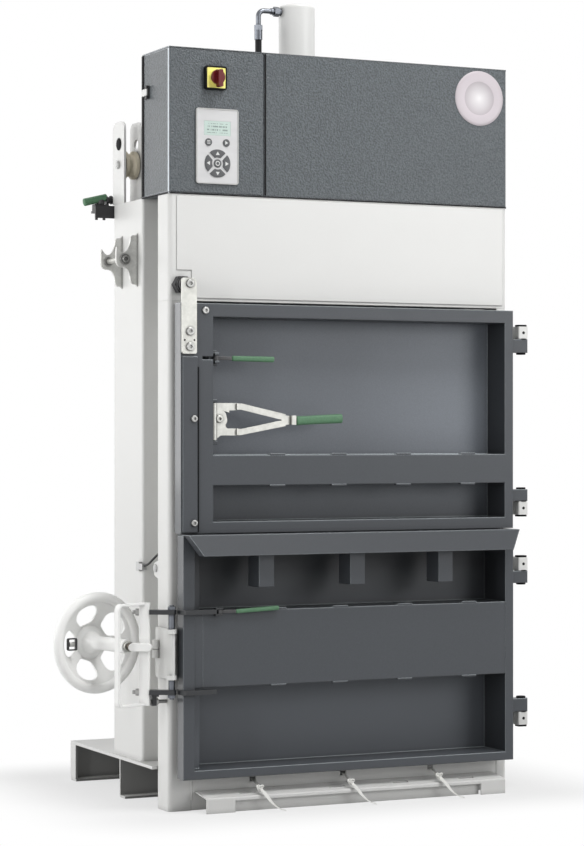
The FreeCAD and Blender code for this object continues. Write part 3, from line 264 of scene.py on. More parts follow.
def powder_coat(
    name, colour, grain, depth, roughness, edge=2.0, mottle=0.05, dust=0.0, edge_highlight=None, sheet_sheen=0.0, low_front_darkening=0.0,
    front=None, lit_from=(-0.12, -0.10, 0.99), fold_highlight_way=None, **fixed
):
    """Powder coat: orange peel of a grain size and depth, slow drift of tone, and a little dust on top. It can
    also paint a highlight of a given tone on edges that lean to lit_from and on a rounded bend that faces a
    given way, and paint shade on edges that lean away; paint sheen and shade on a door's sheets; darken what
    faces the front near the floor; and paint shade in a darker colour on what faces the front."""
    finish = Finish(name, **fixed)
    peel = finish.noise(grain)
    drift = finish.noise(0.35, 3.0)
    handled = finish.noise(0.045, 4.0).between(0.56, 0.74)
    tone = finish.mixed(drift, shade(colour, 0.97), shade(colour, 1.03))
    # mottle follows the peel's bumps: a little tone of the coat, and on the hammered hood painted highlight
    # and shade of the relief
    tone = finish.mixed(peel.between(0.34, 0.66), tone * (1 - mottle), tone * (1 + mottle))
    if dust:
        lying = finish.facing("Z").between(0.6, 1.0) * finish.noise(0.06, 4.0).between(0.3, 0.8)
        tone = finish.mixed(lying * dust, tone, DUST)
    # painted highlight on edges leaning to the light, and painted shade on edges leaning away
    if edge_highlight:
        lit, shaded = finish.painted_edge_light(4.5 * MM, lit_from)
        tone = finish.mixed(lit * (0.55 + 0.45 * drift), tone, edge_highlight)
        tone = finish.mixed(shaded * 0.75, tone, shade(colour, 0.15))
    # painted highlight along a rounded bend that faces the given way
    if fold_highlight_way:
        fold_highlight = finish.towards(finish.own_normal(), fold_highlight_way).between(0.90, 0.96)
        tone = finish.mixed(fold_highlight, tone, shade(edge_highlight, 1.25))
    # painted sheen and painted shade on a door's sheets
    if sheet_sheen:
        tone = door_painted_light(finish, tone, sheet_sheen)
    # darker near the floor where the surface faces the front
    if low_front_darkening:
        low = 1 - finish.along("Z").between(0.10, 0.30)
        tone = tone * (1 - low * finish.facing("Y").between(-0.4, -0.6) * low_front_darkening)
    # painted shade: a darker colour on what faces the front, where the recesses lie in shade
    if front:
        tone = finish.mixed(finish.facing("Y") < -0.5, tone, front)
    # painted shade, with some dirt, in corners up to 14 mm wide
    tone = tone * finish.crevice_shade_and_dirt(14 * MM, 0.72)
    return finish.done(tone, roughness + handled * 0.06 + peel * 0.06, peel, depth, edge)


def door_painted_light(finish, tone, upper_sheen):
    """Painted light on a door's tone: painted sheen lightens its sheets against its rails, most on the upper
    one's right; painted shade darkens the strip under the lip, the right rail's side and the recesses. The
    outer left side is glossier."""
    x, y, z = (finish.along(axis) for axis in "XYZ")
    ahead, leftwards = finish.facing("Y") < -0.5, finish.facing("X") < -0.5
    behind_lower_face = y > FRONT - 30 * MM
    # painted sheen on the upper door's sheets, growing towards the right
    upper = (y > FRONT + 30 * MM) * z.between(0.70, 0.92) * (0.8 + 0.6 * x.between(0.05, 0.45))
    # painted shade on the strip under the lip
    under_lip = behind_lower_face * z.between(0.54, 0.62) * (z < 0.72)
    # painted sheen on the lower door's sheets
    lower = behind_lower_face * (1 - z.between(0.30, 0.36))
    lip_shade, lower_sheen, rail_shade, gloss = 0.54, 0.60, 0.45, 0.75
    tone = tone * (1 + ahead * (upper * upper_sheen - under_lip * lip_shade + lower * lower_sheen))
    # painted shade on the side of the right rail
    tone = tone * (1 - leftwards * (x > 0.40) * rail_shade)
    finish.set("Coat Weight", leftwards * (x < -0.45) * gloss)
    finish.set("Coat Roughness", 0.12)
    # painted shade in recesses up to 90 mm wide, such as under the lip
    return tone * finish.crevice_shade_and_dirt(90 * MM, 0.86)


def bright_metal(name, colour, roughness, stretch=(1, 1, 1), spangle=0.0, edge=0.6):
    """Plated or polished steel with fine lines along its stretch, and cloudy spangle in its tone."""
    finish = Finish(name, metallic=1.0)
    lines = finish.noise(0.0012, 2.0, stretch)
    cloud = finish.noise(0.018, 4.0)
    tone = finish.mixed(cloud.between(0.3, 0.7), shade(colour, 0.82), shade(colour, 1.06))
    if spangle:
        tone = finish.mixed(finish.cells(0.006) * spangle, tone, shade(colour, 0.7))
    # painted shade, with some dirt, round bolt heads and in corners
    tone = tone * finish.crevice_shade_and_dirt(7 * MM, 0.30)
    return finish.done(tone, roughness + lines * 0.12 + cloud * 0.06, lines, 0.00004, edge)


def moulded(name, colour, roughness, depth=0.00005, edge=0.8, **fixed):
    """Moulded plastic: fine erosion grain, faint flow marks and slightly polished patches."""
    finish = Finish(name, **fixed)
    grains = finish.noise(0.0011)
    flow = finish.noise(0.05, 3.0, (1, 1, 2.5))
    tone = finish.mixed(flow.between(0.3, 0.7), shade(colour, 0.96), shade(colour, 1.04))
    return finish.done(tone, roughness + flow * 0.08 + grains * 0.05, grains, depth, edge)


def switch_face(name, colour, base):
    """Moulded switch in two layers: a black base against the door, and a coloured plate in front of it."""
    finish = Finish(name)
    flow = finish.noise(0.012, 3.0)
    front = finish.along("Y") < FRONT - 8.9 * MM
    tone = finish.mixed(flow.between(0.3, 0.7), shade(colour, 0.93), shade(colour, 1.05))
    return finish.done(finish.mixed(front, base, tone), 0.34, finish.noise(0.0010), 0.00004, 0.8)


def cabled_sensor(name, case, cable):
    """Plated sensor on the column, and the dark cable that rises from it to the post."""
    finish = Finish(name)
    y, z = finish.along("Y") - FRONT, finish.along("Z") - SENSOR_Z * MM
    cable_from, cable_to, case_top = 112 * MM, 159.5 * MM, 12.5 * MM
    on_cable = ((y > cable_from) * (y < cable_to)).at_least(z > case_top)
    cloud = finish.noise(0.018, 4.0)
    plated = finish.mixed(cloud, shade(case, 0.85), shade(case, 1.06))
    finish.set("Metallic", 1 - on_cable)
    return finish.done(finish.mixed(on_cable, plated, cable), 0.42, cloud, 0.00004, 0.6)


def dipped_grip(name, colour):
    """Dipped soft plastic: slightly mottled, with scuffs that have paled."""
    finish = Finish(name)
    mottle = finish.noise(0.006, 4.0)
    scuffs = finish.noise(0.0025, 4.0, (0.15, 1, 1)).between(0.58, 0.72)
    tone = finish.mixed(mottle.between(0.3, 0.7), shade(colour, 0.88), shade(colour, 1.12))
    tone = finish.mixed(scuffs * 0.25, tone, (0.22, 0.30, 0.22))
    return finish.done(tone, 0.42 + mottle * 0.14 + scuffs * 0.1, mottle, 0.0001, 0.8)


def marked_keys(name, colour, ink):
    """Dark keys with marks: triangles that point outwards on the four fan keys, a ring on the middle one,
    three bars on the left round key and an arrow on the right one."""
    finish = Finish(name)
    x, z = finish.along("X"), finish.along("Z")
    dx, dz = (x - KEYPAD[0] * MM).size(), (z - KEYPAD[1] * MM).size()
    out, aside = dx.at_least(dz), dx.at_most(dz)
    tip, foot, slope = 31 * MM, 22 * MM, 0.62
    triangles = (aside < (tip - out) * slope) * (out > foot)
    ring_radius, ring_half = 5.2 * MM, 1.1 * MM
    ring = (dx.diagonal(dz) - ring_radius).size() < ring_half
    pitch, bar_half, bar_length, bars_half = 3.6 * MM, 0.75 * MM, 4.6 * MM, 5.2 * MM
    bar_x, bar_z = (x - ROUND_KEYS[0] * MM).size(), z - ROUND_KEYS[2] * MM
    nearest = bar_z - (bar_z / pitch + 0.5).floored() * pitch
    bars = (bar_x < bar_length) * (nearest.size() < bar_half) * (bar_z.size() < bars_half)
    arrow_x, arrow_z = x - ROUND_KEYS[1] * MM, (z - ROUND_KEYS[2] * MM).size()
    arrow_tip, arrow_foot, arrow_slope = 4.6 * MM, -3.6 * MM, 0.6
    arrow = (arrow_z < (arrow_tip - arrow_x) * arrow_slope) * (arrow_x > arrow_foot)
    grains = finish.noise(0.0009)
    tone = finish.mixed(triangles.at_least(ring).at_least(bars).at_least(arrow), colour, ink)
    return finish.done(tone, 0.36 + grains * 0.1, grains, 0.00003, 0.5)


def lit_display(name, glass, ink):
    """Pale greenish window with rows of small dark blocks in cells of a column's width and a row's height."""
    finish = Finish(name)
    wide, high, block_half, row_half, shown_share = 2.1 * MM, 8.6 * MM, 0.36, 0.24, 0.66
    window_x, window_z = 29 * MM, 12.5 * MM
    x, z = finish.along("X") - DISPLAY[0] * MM, finish.along("Z") - DISPLAY[1] * MM
    column, row = (x / wide).floored(), (z / high).floored()
    spot = finish.node("ShaderNodeCombineXYZ", sockets={0: column, 1: row, 2: 3.0})
    chance = finish.node("ShaderNodeTexWhiteNoise", sockets={"Vector": spot}, output="Value")
    in_cell = (x / wide - column - 0.5).size() < block_half
    in_row = (z / high - row - 0.5).size() < row_half
    in_window = (x.size() < window_x) * (z.size() < window_z)
    shown = in_window * in_cell * in_row * (chance > 1 - shown_share)
    glow = finish.noise(0.03)
    tone = finish.mixed(glow, shade(glass, 0.94), shade(glass, 1.05))
    return finish.done(finish.mixed(shown * 0.8, tone, ink), 0.12, glow, 0.00002, 0.4)


def printed_disc(name, colour, ring):
    """Printed disc: a pale middle that darkens towards its rim, and a band round it with fine circles."""
    finish = Finish(name)
    band_from, band_to = DISC_BAND * MM, DISC_RIM * MM
    dx, dz = finish.along("X") - DISC[0] * MM, finish.along("Z") - DISC[2] * MM
    reach = dx.diagonal(dz)
    circles = reach.waves(5200)
    cloud = finish.noise(0.02, 4.0)
    middle = finish.mixed(reach.between(0.0, band_from), colour, shade(ring, 0.86))
    band = finish.mixed(reach.between(band_from, band_to), shade(ring, 1.12), ring)
    tone = finish.mixed(reach > band_from, middle, band)
    roughness = 0.34 + circles * 0.08 + cloud * 0.06
    return finish.done(tone * (0.97 + cloud * 0.06), roughness, circles, 0.00002, 0.5)


def woven_strap(name, colour):
    """Flat woven strap: fine ribs along it and across it, from its own UV map in metres."""
    finish = Finish(name)
    run = finish.node("ShaderNodeUVMap", {"uv_map": "weave"})
    u, v = finish.part(run, "X"), finish.part(run, "Y")
    ribs = u.waves(4200) * 0.5 + v.waves(5600) * 0.5
    soiled = finish.noise(0.012, 4.0).between(0.45, 0.8)
    tone = finish.mixed(ribs, shade(colour, 0.86), shade(colour, 1.05))
    tone = finish.mixed(soiled * 0.25, tone, shade(colour, 0.7))
    return finish.done(tone, 0.62, ribs, 0.00015, 0.3)


WHITE = (0.750, 0.750, 0.735)
# the white coat made lighter for the handwheel and the bow: painted light
PAINTED_LIT_WHITE = (0.92, 0.92, 0.905)
HOOD_GREY = (0.080, 0.093, 0.102)
DOOR_GREY = (0.064, 0.070, 0.079)
# tone of the doors' painted edge highlight
DOOR_EDGE_HIGHLIGHT = (0.42, 0.46, 0.48)
BLACK = (0.008, 0.008, 0.009)

finishes = {
    "white_paint": powder_coat(
        "white_coat", WHITE, 0.0022, 0.00006, 0.34, edge=2.4, mottle=0.01, dust=0.05, low_front_darkening=0.16
    ),
    # hammered coat: its strong mottle paints the relief's highlights and shade; painted highlight on its left
    # edges and rounded bend, painted shade on edges leaning away
    "hood_paint": powder_coat(
        "hammered_coat", HOOD_GREY, 0.0050, 0.0026, 0.30, edge=2.6, mottle=0.30, dust=0.03,
        edge_highlight=(0.72, 0.76, 0.80), lit_from=(-0.90, 0.30, -0.30), fold_highlight_way=(-0.89, -0.45, 0.0)
    ),
    # door coat: painted edge highlight and edge shade, and painted sheen and shade on its sheets
    "door_paint": powder_coat(
        "door_coat", DOOR_GREY, 0.0026, 0.00012, 0.38, edge=2.2, mottle=0.05, dust=0.02, edge_highlight=DOOR_EDGE_HIGHLIGHT,
        sheet_sheen=1.6, specular_ior_level=0.35
    ),
    "tank_paint": powder_coat("tank_coat", (0.075, 0.08, 0.085), 0.003, 0.0001, 0.40),
    "zinc_plate": bright_metal("zinc_coat", (0.54, 0.54, 0.51), 0.36, spangle=0.3),
    "bright_steel": bright_metal("polished_steel", (0.50, 0.50, 0.49), 0.14, (1, 1, 0.05)),
    "green_plastic": dipped_grip("green_grip", (0.075, 0.185, 0.095)),
    "black_plastic": moulded("black_moulding", (0.020, 0.020, 0.022), 0.42),
    "yellow_plastic": switch_face("switch_moulding", (1.0, 0.90, 0.25), (0.012, 0.012, 0.013)),
    "red_plastic": moulded("red_moulding", (0.125, 0.005, 0.008), 0.22, specular_ior_level=0.35),
    "panel_plastic": moulded("panel_bezel", (0.55, 0.55, 0.54), 0.40),
    "keypad_film": moulded("keypad_film", (0.66, 0.66, 0.665), 0.38, depth=0.00002, edge=0.4),
    "display_window": lit_display("display_glass", (0.58, 0.70, 0.65), (0.06, 0.10, 0.09)),
    "roller_plastic": moulded("roller_plastic", (0.66, 0.60, 0.47), 0.45),
    "hose_rubber": moulded("hose_rubber", BLACK, 0.46, specular_ior_level=0.2),
    "sensor_metal": cabled_sensor("sensor_case", (0.50, 0.50, 0.50), (0.012, 0.012, 0.013)),
    "reel_plastic": moulded("reel_plastic", (0.16, 0.165, 0.17), 0.50),
    "strap_fabric": woven_strap("strap_weave", (0.78, 0.78, 0.75)),
}
black_coat = powder_coat("lock_plate_coat", (0.024, 0.026, 0.029), 0.0026, 0.00008, 0.28, edge=1.2)
dark_steel = bright_metal("dark_steel", (0.16, 0.17, 0.19), 0.24)
# a darker copy of the door coat for the lip: painted shade
lip_coat_painted_shade = powder_coat(
    "lip_coat_painted_shade", shade(DOOR_GREY, 0.84), 0.0026, 0.00012, 0.40, edge=2.2, edge_highlight=DOOR_EDGE_HIGHLIGHT,
    specular_ior_level=0.35
)
grey_zinc = bright_metal("grey_zinc", (0.68, 0.68, 0.66), 0.46, spangle=0.3)
bolt_zinc = bright_metal("bolt_zinc", (0.40, 0.40, 0.39), 0.22, spangle=0.2, edge=0.5)
ram_chrome = bright_metal("ram_chrome", (0.55, 0.56, 0.57), 0.10, (1, 1, 0.05))
key_caps = marked_keys("key_caps", (0.075, 0.078, 0.082), (0.70, 0.71, 0.70))
disc_print = printed_disc("printed_disc", (0.84, 0.82, 0.83), (0.55, 0.50, 0.53))
greased_thread = bright_metal("greased_thread", (0.16, 0.14, 0.12), 0.36)
burnished = powder_coat("burnished_steel", (0.050, 0.050, 0.052), 0.004, 0.0001, 0.34, edge=0.8, mottle=0.1)
sealing_rubber = moulded("sealing_rubber", BLACK, 0.60, specular_ior_level=0.12)
# white coat with painted shade on the channels' inner faces that face the front
channel_coat_shaded_front = powder_coat(
    "channel_coat_shaded_front", WHITE, 0.0022, 0.00006, 0.4, mottle=0.01, front=(0.21, 0.21, 0.205)
)
# a lighter copy of the white coat for the handwheel and the bow: painted light
white_coat_painted_lit = powder_coat("white_coat_painted_lit", PAINTED_LIT_WHITE, 0.0022, 0.00006, 0.34, edge=2.4, mottle=0.01)
plain_strap = moulded("strap_knot", (0.74, 0.74, 0.71), 0.62, depth=0.0001)
finishes_by_node = {
    "lock_levers": black_coat,
    "lock_lugs": black_coat,
    "deflector_lip": lip_coat_painted_shade,
    "door_screws": bolt_zinc,
    "lock_studs": bolt_zinc,
    "cylinder_bolts": bolt_zinc,
    "lock_pivot_bolts": dark_steel,
    "pressure_line": dark_steel,
    "piston_rod": ram_chrome,
    "hinge_pins": sealing_rubber,
    "handwheel": white_coat_painted_lit,
    "lock_bow": white_coat_painted_lit,
    "base_channels": channel_coat_shaded_front,
}

slots = {row["node"]: row["material_slot"] for row in frame["record"]["subparts"]}
for node, thing in frame["nodes"].items():
    thing.data.materials.clear()
    thing.data.materials.append(finishes_by_node.get(node, finishes[slots[node]]))


# ---- surfaces ----
def placed(name, data):
    """A new object in the scene."""
    made = bpy.data.objects.new(name, data)
    bpy.context.scene.collection.objects.link(made)
    return made


def piece(name, points, faces, finish, body, slot, node=None, sharp=38):
    """A piece of the baler from points in drawing millimetres, its faces turned outwards, in node's place."""
    mesh = bpy.data.meshes.new(name)
    mesh.from_pydata(np.asarray(points).reshape(-1, 3) * MM + (0, FRONT, 0), [], faces)
    shell = bmesh.new()
    shell.from_mesh(mesh)
    bmesh.ops.recalc_face_normals(shell, faces=shell.faces)
    shell.to_mesh(mesh)
    shell.free()
    mesh.shade_smooth()
    mesh.set_sharp_from_angle(angle=math.radians(sharp))
    mesh.materials.append(finish)
    made = placed(name, mesh)
    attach(made, body)
    if node:
        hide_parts(node)
    return made


def tube_faces(count, around, closed=False):
    """Quads between count rings of points, and one face over each open end."""
    here = np.arange(count * around).reshape(count, around)
    rows = np.vstack([here, here[:1]]) if closed else here
    beside = np.roll(rows, -1, axis=1)
    quads = np.stack([rows[:-1], beside[:-1], beside[1:], rows[1:]], axis=-1).reshape(-1, 4).tolist()
    return quads if closed else quads + [here[0][::-1].tolist(), here[-1].tolist()]


def many(parts):
    """Points and faces of several tubes of rings as one shape."""
    points, faces, start = [], [], 0
    for rings in parts:
        count, around = rings.shape[:2]
        faces += [[start + corner for corner in face] for face in tube_faces(count, around)]
        points.append(rings.reshape(-1, 3))
        start += count * around
    return np.concatenate(points), faces


def looped(rings):
    """Points and faces of one tube of rings that closes on itself."""
    return rings, tube_faces(*rings.shape[:2], closed=True)


def unit(vectors):
    return vectors / np.linalg.norm(vectors, axis=-1, keepdims=True)


def round_loop(points):
    """The direction of a closed curve at each of its points."""
    return unit(np.roll(points, -1, axis=0) - np.roll(points, 1, axis=0))


def superellipse(angle, power):
    """Points of |u| ^ power + |v| ^ power = 1."""
    u, v = np.cos(angle), np.sin(angle)
    return np.sign(u) * np.abs(u) ** (2 / power), np.sign(v) * np.abs(v) ** (2 / power)


def squircle(width, height, power=2.6, count=32):
    """Closed section |u / a| ^ power + |v / b| ^ power = 1, with a and b half the width and the height."""
    u, v = superellipse(np.linspace(0, 2 * np.pi, count, endpoint=False), power)
    return width / 2 * u, height / 2 * v


def stations(length, end, count=9, inner=0):
    """Places along a bar with rounded ends and how full it is there: a quarter ellipse at either end, and
    inner places between them, where it is full."""
    angle = np.linspace(0.02, np.pi / 2, count)
    start, full = end * (1 - np.cos(angle)), np.sin(angle)
    between = np.linspace(start[-1], length - start[-1], inner + 2)[1:-1]
    along = np.concatenate([start, between, length - start[::-1]])
    return along, np.concatenate([full, np.ones(inner), full[::-1]])


def swept(path, across, over, up=(0, 0, 1)):
    """Rings of a section carried along a path: across is square to it and to up, over is square to both."""
    ahead = unit(np.gradient(path, axis=0))
    side = unit(np.cross(ahead, up))
    top = np.cross(side, ahead)
    return path[:, None] + across[..., None] * side[:, None] + over[..., None] * top[:, None]


def bar(
    start, end, width, height, round_end, power=2.6, up=(0, 0, 1), count=9, inner=0, around=32, swell=None
):
    """Straight squircle bar with rounded ends. Swell gives how full it is from the places along it."""
    start, end = np.array(start, float), np.array(end, float)
    length = np.linalg.norm(end - start)
    along, full = stations(length, round_end, count, inner)
    if swell:
        full = full * swell(along)
    u, v = squircle(width, height, power, around)
    path = start + (end - start) * (along / length)[:, None]
    return swept(path, full[:, None] * u, full[:, None] * v, up)


def turned(centre, axis, profile, around=64):
    """Solid of revolution: rings whose distance from the axis and place along it come from a profile."""
    axis = unit(np.array(axis, float))
    first = unit(np.cross(axis, (0.3, 0.5, 0.8)))
    second = np.cross(axis, first)
    angle = np.linspace(0, 2 * np.pi, around, endpoint=False)[:, None]
    spokes = first * np.cos(angle) + second * np.sin(angle)
    reach, along = np.array(profile, float).T
    return np.array(centre, float) + reach[:, None, None] * spokes + along[:, None, None] * axis


def domed(outline, rise, base, thick):
    """Pad with a crown: its outline in X and Z is drawn in towards the middle while it rises as a quarter
    superellipse."""
    middle = outline.mean(axis=0)
    angle = np.linspace(0, np.pi / 2 * 0.97, 9)
    share = np.append(1.0, np.cos(angle) ** 0.42)
    height = np.append(0.0, thick + np.sin(angle) ** 0.9 * rise)
    flat = middle + (outline - middle) * share[:, None, None]
    depth = np.broadcast_to((base - height)[:, None], flat.shape[:2])
    return np.stack([flat[..., 0], depth, flat[..., 1]], axis=-1)


def spline_points(route):
    """Points of the smooth spline that has the route's points as its controls, in drawing millimetres."""
    curve = bpy.data.curves.new("route", "CURVE")
    curve.dimensions = "3D"
    spline = curve.splines.new("NURBS")
    spline.points.add(len(route) - 1)
    for control, (x, y, z) in zip(spline.points, route):
        control.co = (x * MM, y * MM + FRONT, z * MM, 1.0)
    spline.order_u = 3
    spline.use_endpoint_u = True
    spline.resolution_u = 14
    bare = bpy.data.objects.new("route", curve)
    mesh = bpy.data.meshes.new_from_object(bare)
    points = np.array([corner.co for corner in mesh.vertices])
    bpy.data.objects.remove(bare)
    bpy.data.curves.remove(curve)
    bpy.data.meshes.remove(mesh)
    return (points - (0, FRONT, 0)) / MM


# ---- straps ----
STRAP_ROUTE = (
    (0, 5, 72), (-2, -22, 67), (-6, -48, 60), (-10, -72, 56), (-2, -92, 40), (10, -101, 20), (27, -107, 6),
    (44, -110, 1.6),
)
KNOT_AT = 3  # the route's point where the knot is
STRAP_WIDTH, STRAP_THICK = 11.0, 1.2


def ribbon(path, width, thick, flat, around=20):
    """Flat strap along a path: a thin squircle section that turns so that its width lies along flat, which
    is a direction for each point of the path."""
    ahead = unit(np.gradient(path, axis=0))
    wide = unit(flat - ahead * (flat * ahead).sum(axis=1, keepdims=True))
    thin = np.cross(ahead, wide)
    u, v = squircle(1.0, 1.0, 5.0, around)
    across, over = width[:, None] * u, (thick * v)[None, :]
    return path[:, None] + across[..., None] * wide[:, None] + over[..., None] * thin[:, None]


def strap(name, x, node):
    """Limp flat strap from its slot in the sill to a knot on the flap's edge and on to the floor. It leaves
    the slot narrower, spreads after the knot, and turns from facing the front to lying flat."""
    route = [(x + dx, y, z) for dx, y, z in STRAP_ROUTE]
    path = spline_points(route)
    run = np.concatenate([[0.0], np.cumsum(np.linalg.norm(np.diff(path, axis=0), axis=1))])
    share = run / run[-1]
    turn_from, turn_over, laid_flat = 0.55, 0.4, math.radians(58)
    eased = np.clip((share - turn_from) / turn_over, 0, 1)
    turn = eased**2 * (3 - 2 * eased) * laid_flat
    flat = np.stack([np.cos(turn), np.sin(turn), 0 * turn], axis=-1)
    narrow, spread_from, spread_over = 0.80, 0.45, 0.12
    width = STRAP_WIDTH * (narrow + (1 - narrow) * np.clip((share - spread_from) / spread_over, 0, 1))
    rings = ribbon(path, width, STRAP_THICK, flat)
    around = rings.shape[1]
    woven = finishes["strap_fabric"]
    made = piece(name, rings, tube_faces(len(path), around), woven, "frame", "strap_fabric", node, 60)
    weave = made.data.uv_layers.new(name="weave")
    corner = np.empty(len(made.data.loops), dtype=np.int32)
    made.data.loops.foreach_get("vertex_index", corner)
    u, _ = squircle(STRAP_WIDTH, 1.0, 5.0, around)
    plan = np.stack([run[corner // around], u[corner % around]], axis=-1) * MM
    weave.data.foreach_set("uv", plan.ravel())
    knot = strap_knot(f"{name}_knot", route)


def strap_knot(name, route):
    """Pulled knot: a closed round cord along the trefoil (sin t + 2 sin 2t, cos t - 2 cos 2t, -sin 3t)."""
    t = np.linspace(0, 2 * np.pi, 96, endpoint=False)
    loop = [np.sin(t) + 2 * np.sin(2 * t), 1.1 * np.sin(3 * t), np.cos(t) - 2 * np.cos(2 * t)]
    loop = np.array(route[KNOT_AT]) + (-1.0, 2.0, 3.0) + np.stack(loop, axis=-1) * (3.5, 1.8, 2.5)
    ahead = round_loop(loop)
    side = unit(np.cross(ahead, (0, 1, 0)))
    top = np.cross(side, ahead)
    u, v = squircle(4.6, 3.6, 2.2, 14)
    rings = loop[:, None] + u[None, :, None] * side[:, None] + v[None, :, None] * top[:, None]
    return piece(name, *looped(rings), plain_strap, "frame", "strap_fabric")


def wound_strap(name, x):
    """Strap wound on a reel: a ring whose outside follows humps where the turns lie side by side."""
    outer, hump, wobble = 47, 1.1, 0.35
    across = np.linspace(-REEL_HALF, REEL_HALF, 40)
    humps = np.abs(np.sin(across / REEL_HALF * np.pi * 1.5 + 0.4)) ** 0.6
    outside = np.stack([outer + hump * humps, across], axis=-1)
    profile = np.concatenate([[(REEL_R, -REEL_HALF)], outside, [(REEL_R, REEL_HALF)]])
    angle = np.linspace(0, 2 * np.pi, 96, endpoint=False)[:, None]
    reach = profile[:, 0] + wobble * np.sin(3 * angle + profile[:, 1] * 0.4)
    along = np.broadcast_to(profile[:, 1], reach.shape)
    y, z = REEL_Y + reach * np.cos(angle), REEL_Z + reach * np.sin(angle)
    rings = np.stack([x + along, y, z], axis=-1)
    piece(name, *looped(rings), plain_strap, "strap_reels", "strap_fabric")


for side, x in TWINES.items():
    strap(f"{side}_free_strap", x, f"{side}_strap")
for side, x in TWINES.items():
    wound_strap(f"{side}_wound_strap", x)


# ---- grips ----
def grip(name, start, end, width, height, body, node=None, flare=0.0):
    """Soft grip: a squircle bar with rounded ends, a little fuller at its free end, and flared where it meets
    the arm."""
    length, flare_reach = math.dist(start, end), 7

    def swell(along):
        return 0.93 + 0.07 * along / length + flare * np.exp(-along / flare_reach)

    rings = bar(start, end, width, height, 4.5, power=3.0, inner=22, swell=swell)
    piece(name, *many([rings]), finishes["green_plastic"], body, "green_plastic", node)


def flat_arm(name, pivot, reach, height, thick, hub, body):
    """Flat steel arm with rounded edges from an upright hub to inside its grip, in the lever's place."""
    pivot = np.array(pivot, float)
    blade = bar(pivot + (hub * 0.5, 0, 0), pivot + (reach, 0, 0), thick, height, 1.0, power=6.0)
    half, chamfer = height * 0.6, 0.6
    profile = [(POLE, -half), (hub - chamfer, -half), (hub, chamfer - half)]
    profile += [(hub, half - chamfer), (hub - chamfer, half), (POLE, half)]
    piece(name, *many([blade, turned(pivot, UP, profile, 40)]), burnished, body, "zinc_plate", body)


grip("fork_grip", (-162, -42, 1011.5), (-24, -42, 1018), 20, 24.5, "fork_handle", "fork_handle_grip", 0.14)
flat_arm("upper_lever_arm", (-388, -42, 1173), 60, 10, 6, 7, "upper_hand_lever")
grip("upper_lever_grip", (-345, -42, 1173), (-223, -42, 1171.5), 14.5, 15, "upper_hand_lever")
flat_arm("lower_lever_arm", (-390, -70, 519), 70, 9, 5, 6, "lower_hand_lever")
grip("lower_lever_grip", (-346, -70, 518.5), (-222, -70, 524.5), 11.5, 12, "lower_hand_lever")
flat_arm("clamp_lever_arm", (-534, 409, 1608.5), -30, 10, 8, 11, "clamp_lever")
grip("clamp_grip", (-515, 409, 1623), (-584, 409, 1605.5), 19, 21, "clamp_lever")


# ---- control panel ----
def circle(x, z, radius, count=40):
    angle = np.linspace(0, 2 * np.pi, count, endpoint=False)
    return np.stack([x + radius * np.cos(angle), z + radius * np.sin(angle)], axis=-1)


def fan(turn, inner=15.5, outer=36.5, half=0.72, count=16):
    """Outline of a fan key that spans half to either side of an angle: two arcs about the keypad's middle,
    joined by rounded corners."""
    round_out, round_in, gap_out, gap_in = 1.6, 1.2, 0.9, 2.6
    across = np.linspace(-1, 1, count)
    corner = np.abs(across) ** 6
    radius_out, radius_in = outer - round_out * corner, inner + round_in * corner
    wide_out, wide_in = half - gap_out / outer, half - gap_in / inner
    radius = np.concatenate([radius_out, radius_in])
    angle = np.concatenate([across * wide_out, across[::-1] * wide_in]) + turn
    return np.stack([KEYPAD[0] + radius * np.cos(angle), KEYPAD[1] + radius * np.sin(angle)], axis=-1)


def keypad():
    """The two round keys, the middle key and the four fan keys, each a domed pad."""
    left, right, height = ROUND_KEYS
    outlines = [circle(left, height, 10), circle(right, height, 10), circle(*KEYPAD, 11)]
    outlines += [fan(quarter * math.pi / 2) for quarter in range(4)]
    pads = [domed(outline, rise=1.1, base=-4.7, thick=0.5) for outline in outlines]
    piece("key_caps", *many(pads), key_caps, "cabinet_door", "black_plastic", sharp=50)


def hoop(half_width, half_height, corner, wide, deep, power=8.0):
    """Closed frame round a rounded rectangle that faces the front: a squircle section carried round the
    outline (w cos^(2/c) t, h sin^(2/c) t)."""
    u, v = superellipse(np.linspace(0, 2 * np.pi, 128, endpoint=False), corner)
    ring = np.stack([u * half_width, 0 * u, v * half_height], axis=-1)
    out = np.cross(round_loop(ring), (0, 1, 0))
    u, v = squircle(wide, deep, power, 20)
    return ring[:, None] + u[None, :, None] * out[:, None] + v[None, :, None] * np.array((0.0, 1.0, 0.0))


def switch_frame():
    """Dark frame round the main switch."""
    rings = np.array(SWITCH) + hoop(28.2, 28.7, corner=14, wide=4.6, deep=12.4)
    piece("switch_frame", *looped(rings), sealing_rubber, "cabinet_door", "black_plastic", sharp=60)


def round_plate():
    """Plain round plate on the hood, with a flat band round a slightly sunk middle."""
    rim = [(74.0, 0), (DISC_RIM, 0.3), (DISC_RIM, 0.9), (74.4, 1.4), (66, 1.7), (DISC_BAND, 1.7), (45, 1.4)]
    disc = turned(DISC, (0, -1, 0), [(POLE, 0), *rim, (POLE, 1.4)], 96)
    piece("round_plate", *many([disc]), disc_print, "frame", "zinc_plate")


keypad()
switch_frame()
round_plate()


# ---- trims, seals and plugs ----
def cover_seam_shade_strip():
    """Black strip along the seam beside the upper door's safety bar: painted shade of the seam's gap."""
    seam = bar((-445.2, -56.6, 724), (-445.2, -56.6, 1150), 4.2, 5.0, 2, power=4, up=(0, 1, 0))
    piece("cover_seam_shade_strip", *many([seam]), sealing_rubber, "upper_door", "black_plastic", sharp=60)


RIB_TABS = (-218.0, -38.0, 155.0, 352.0)


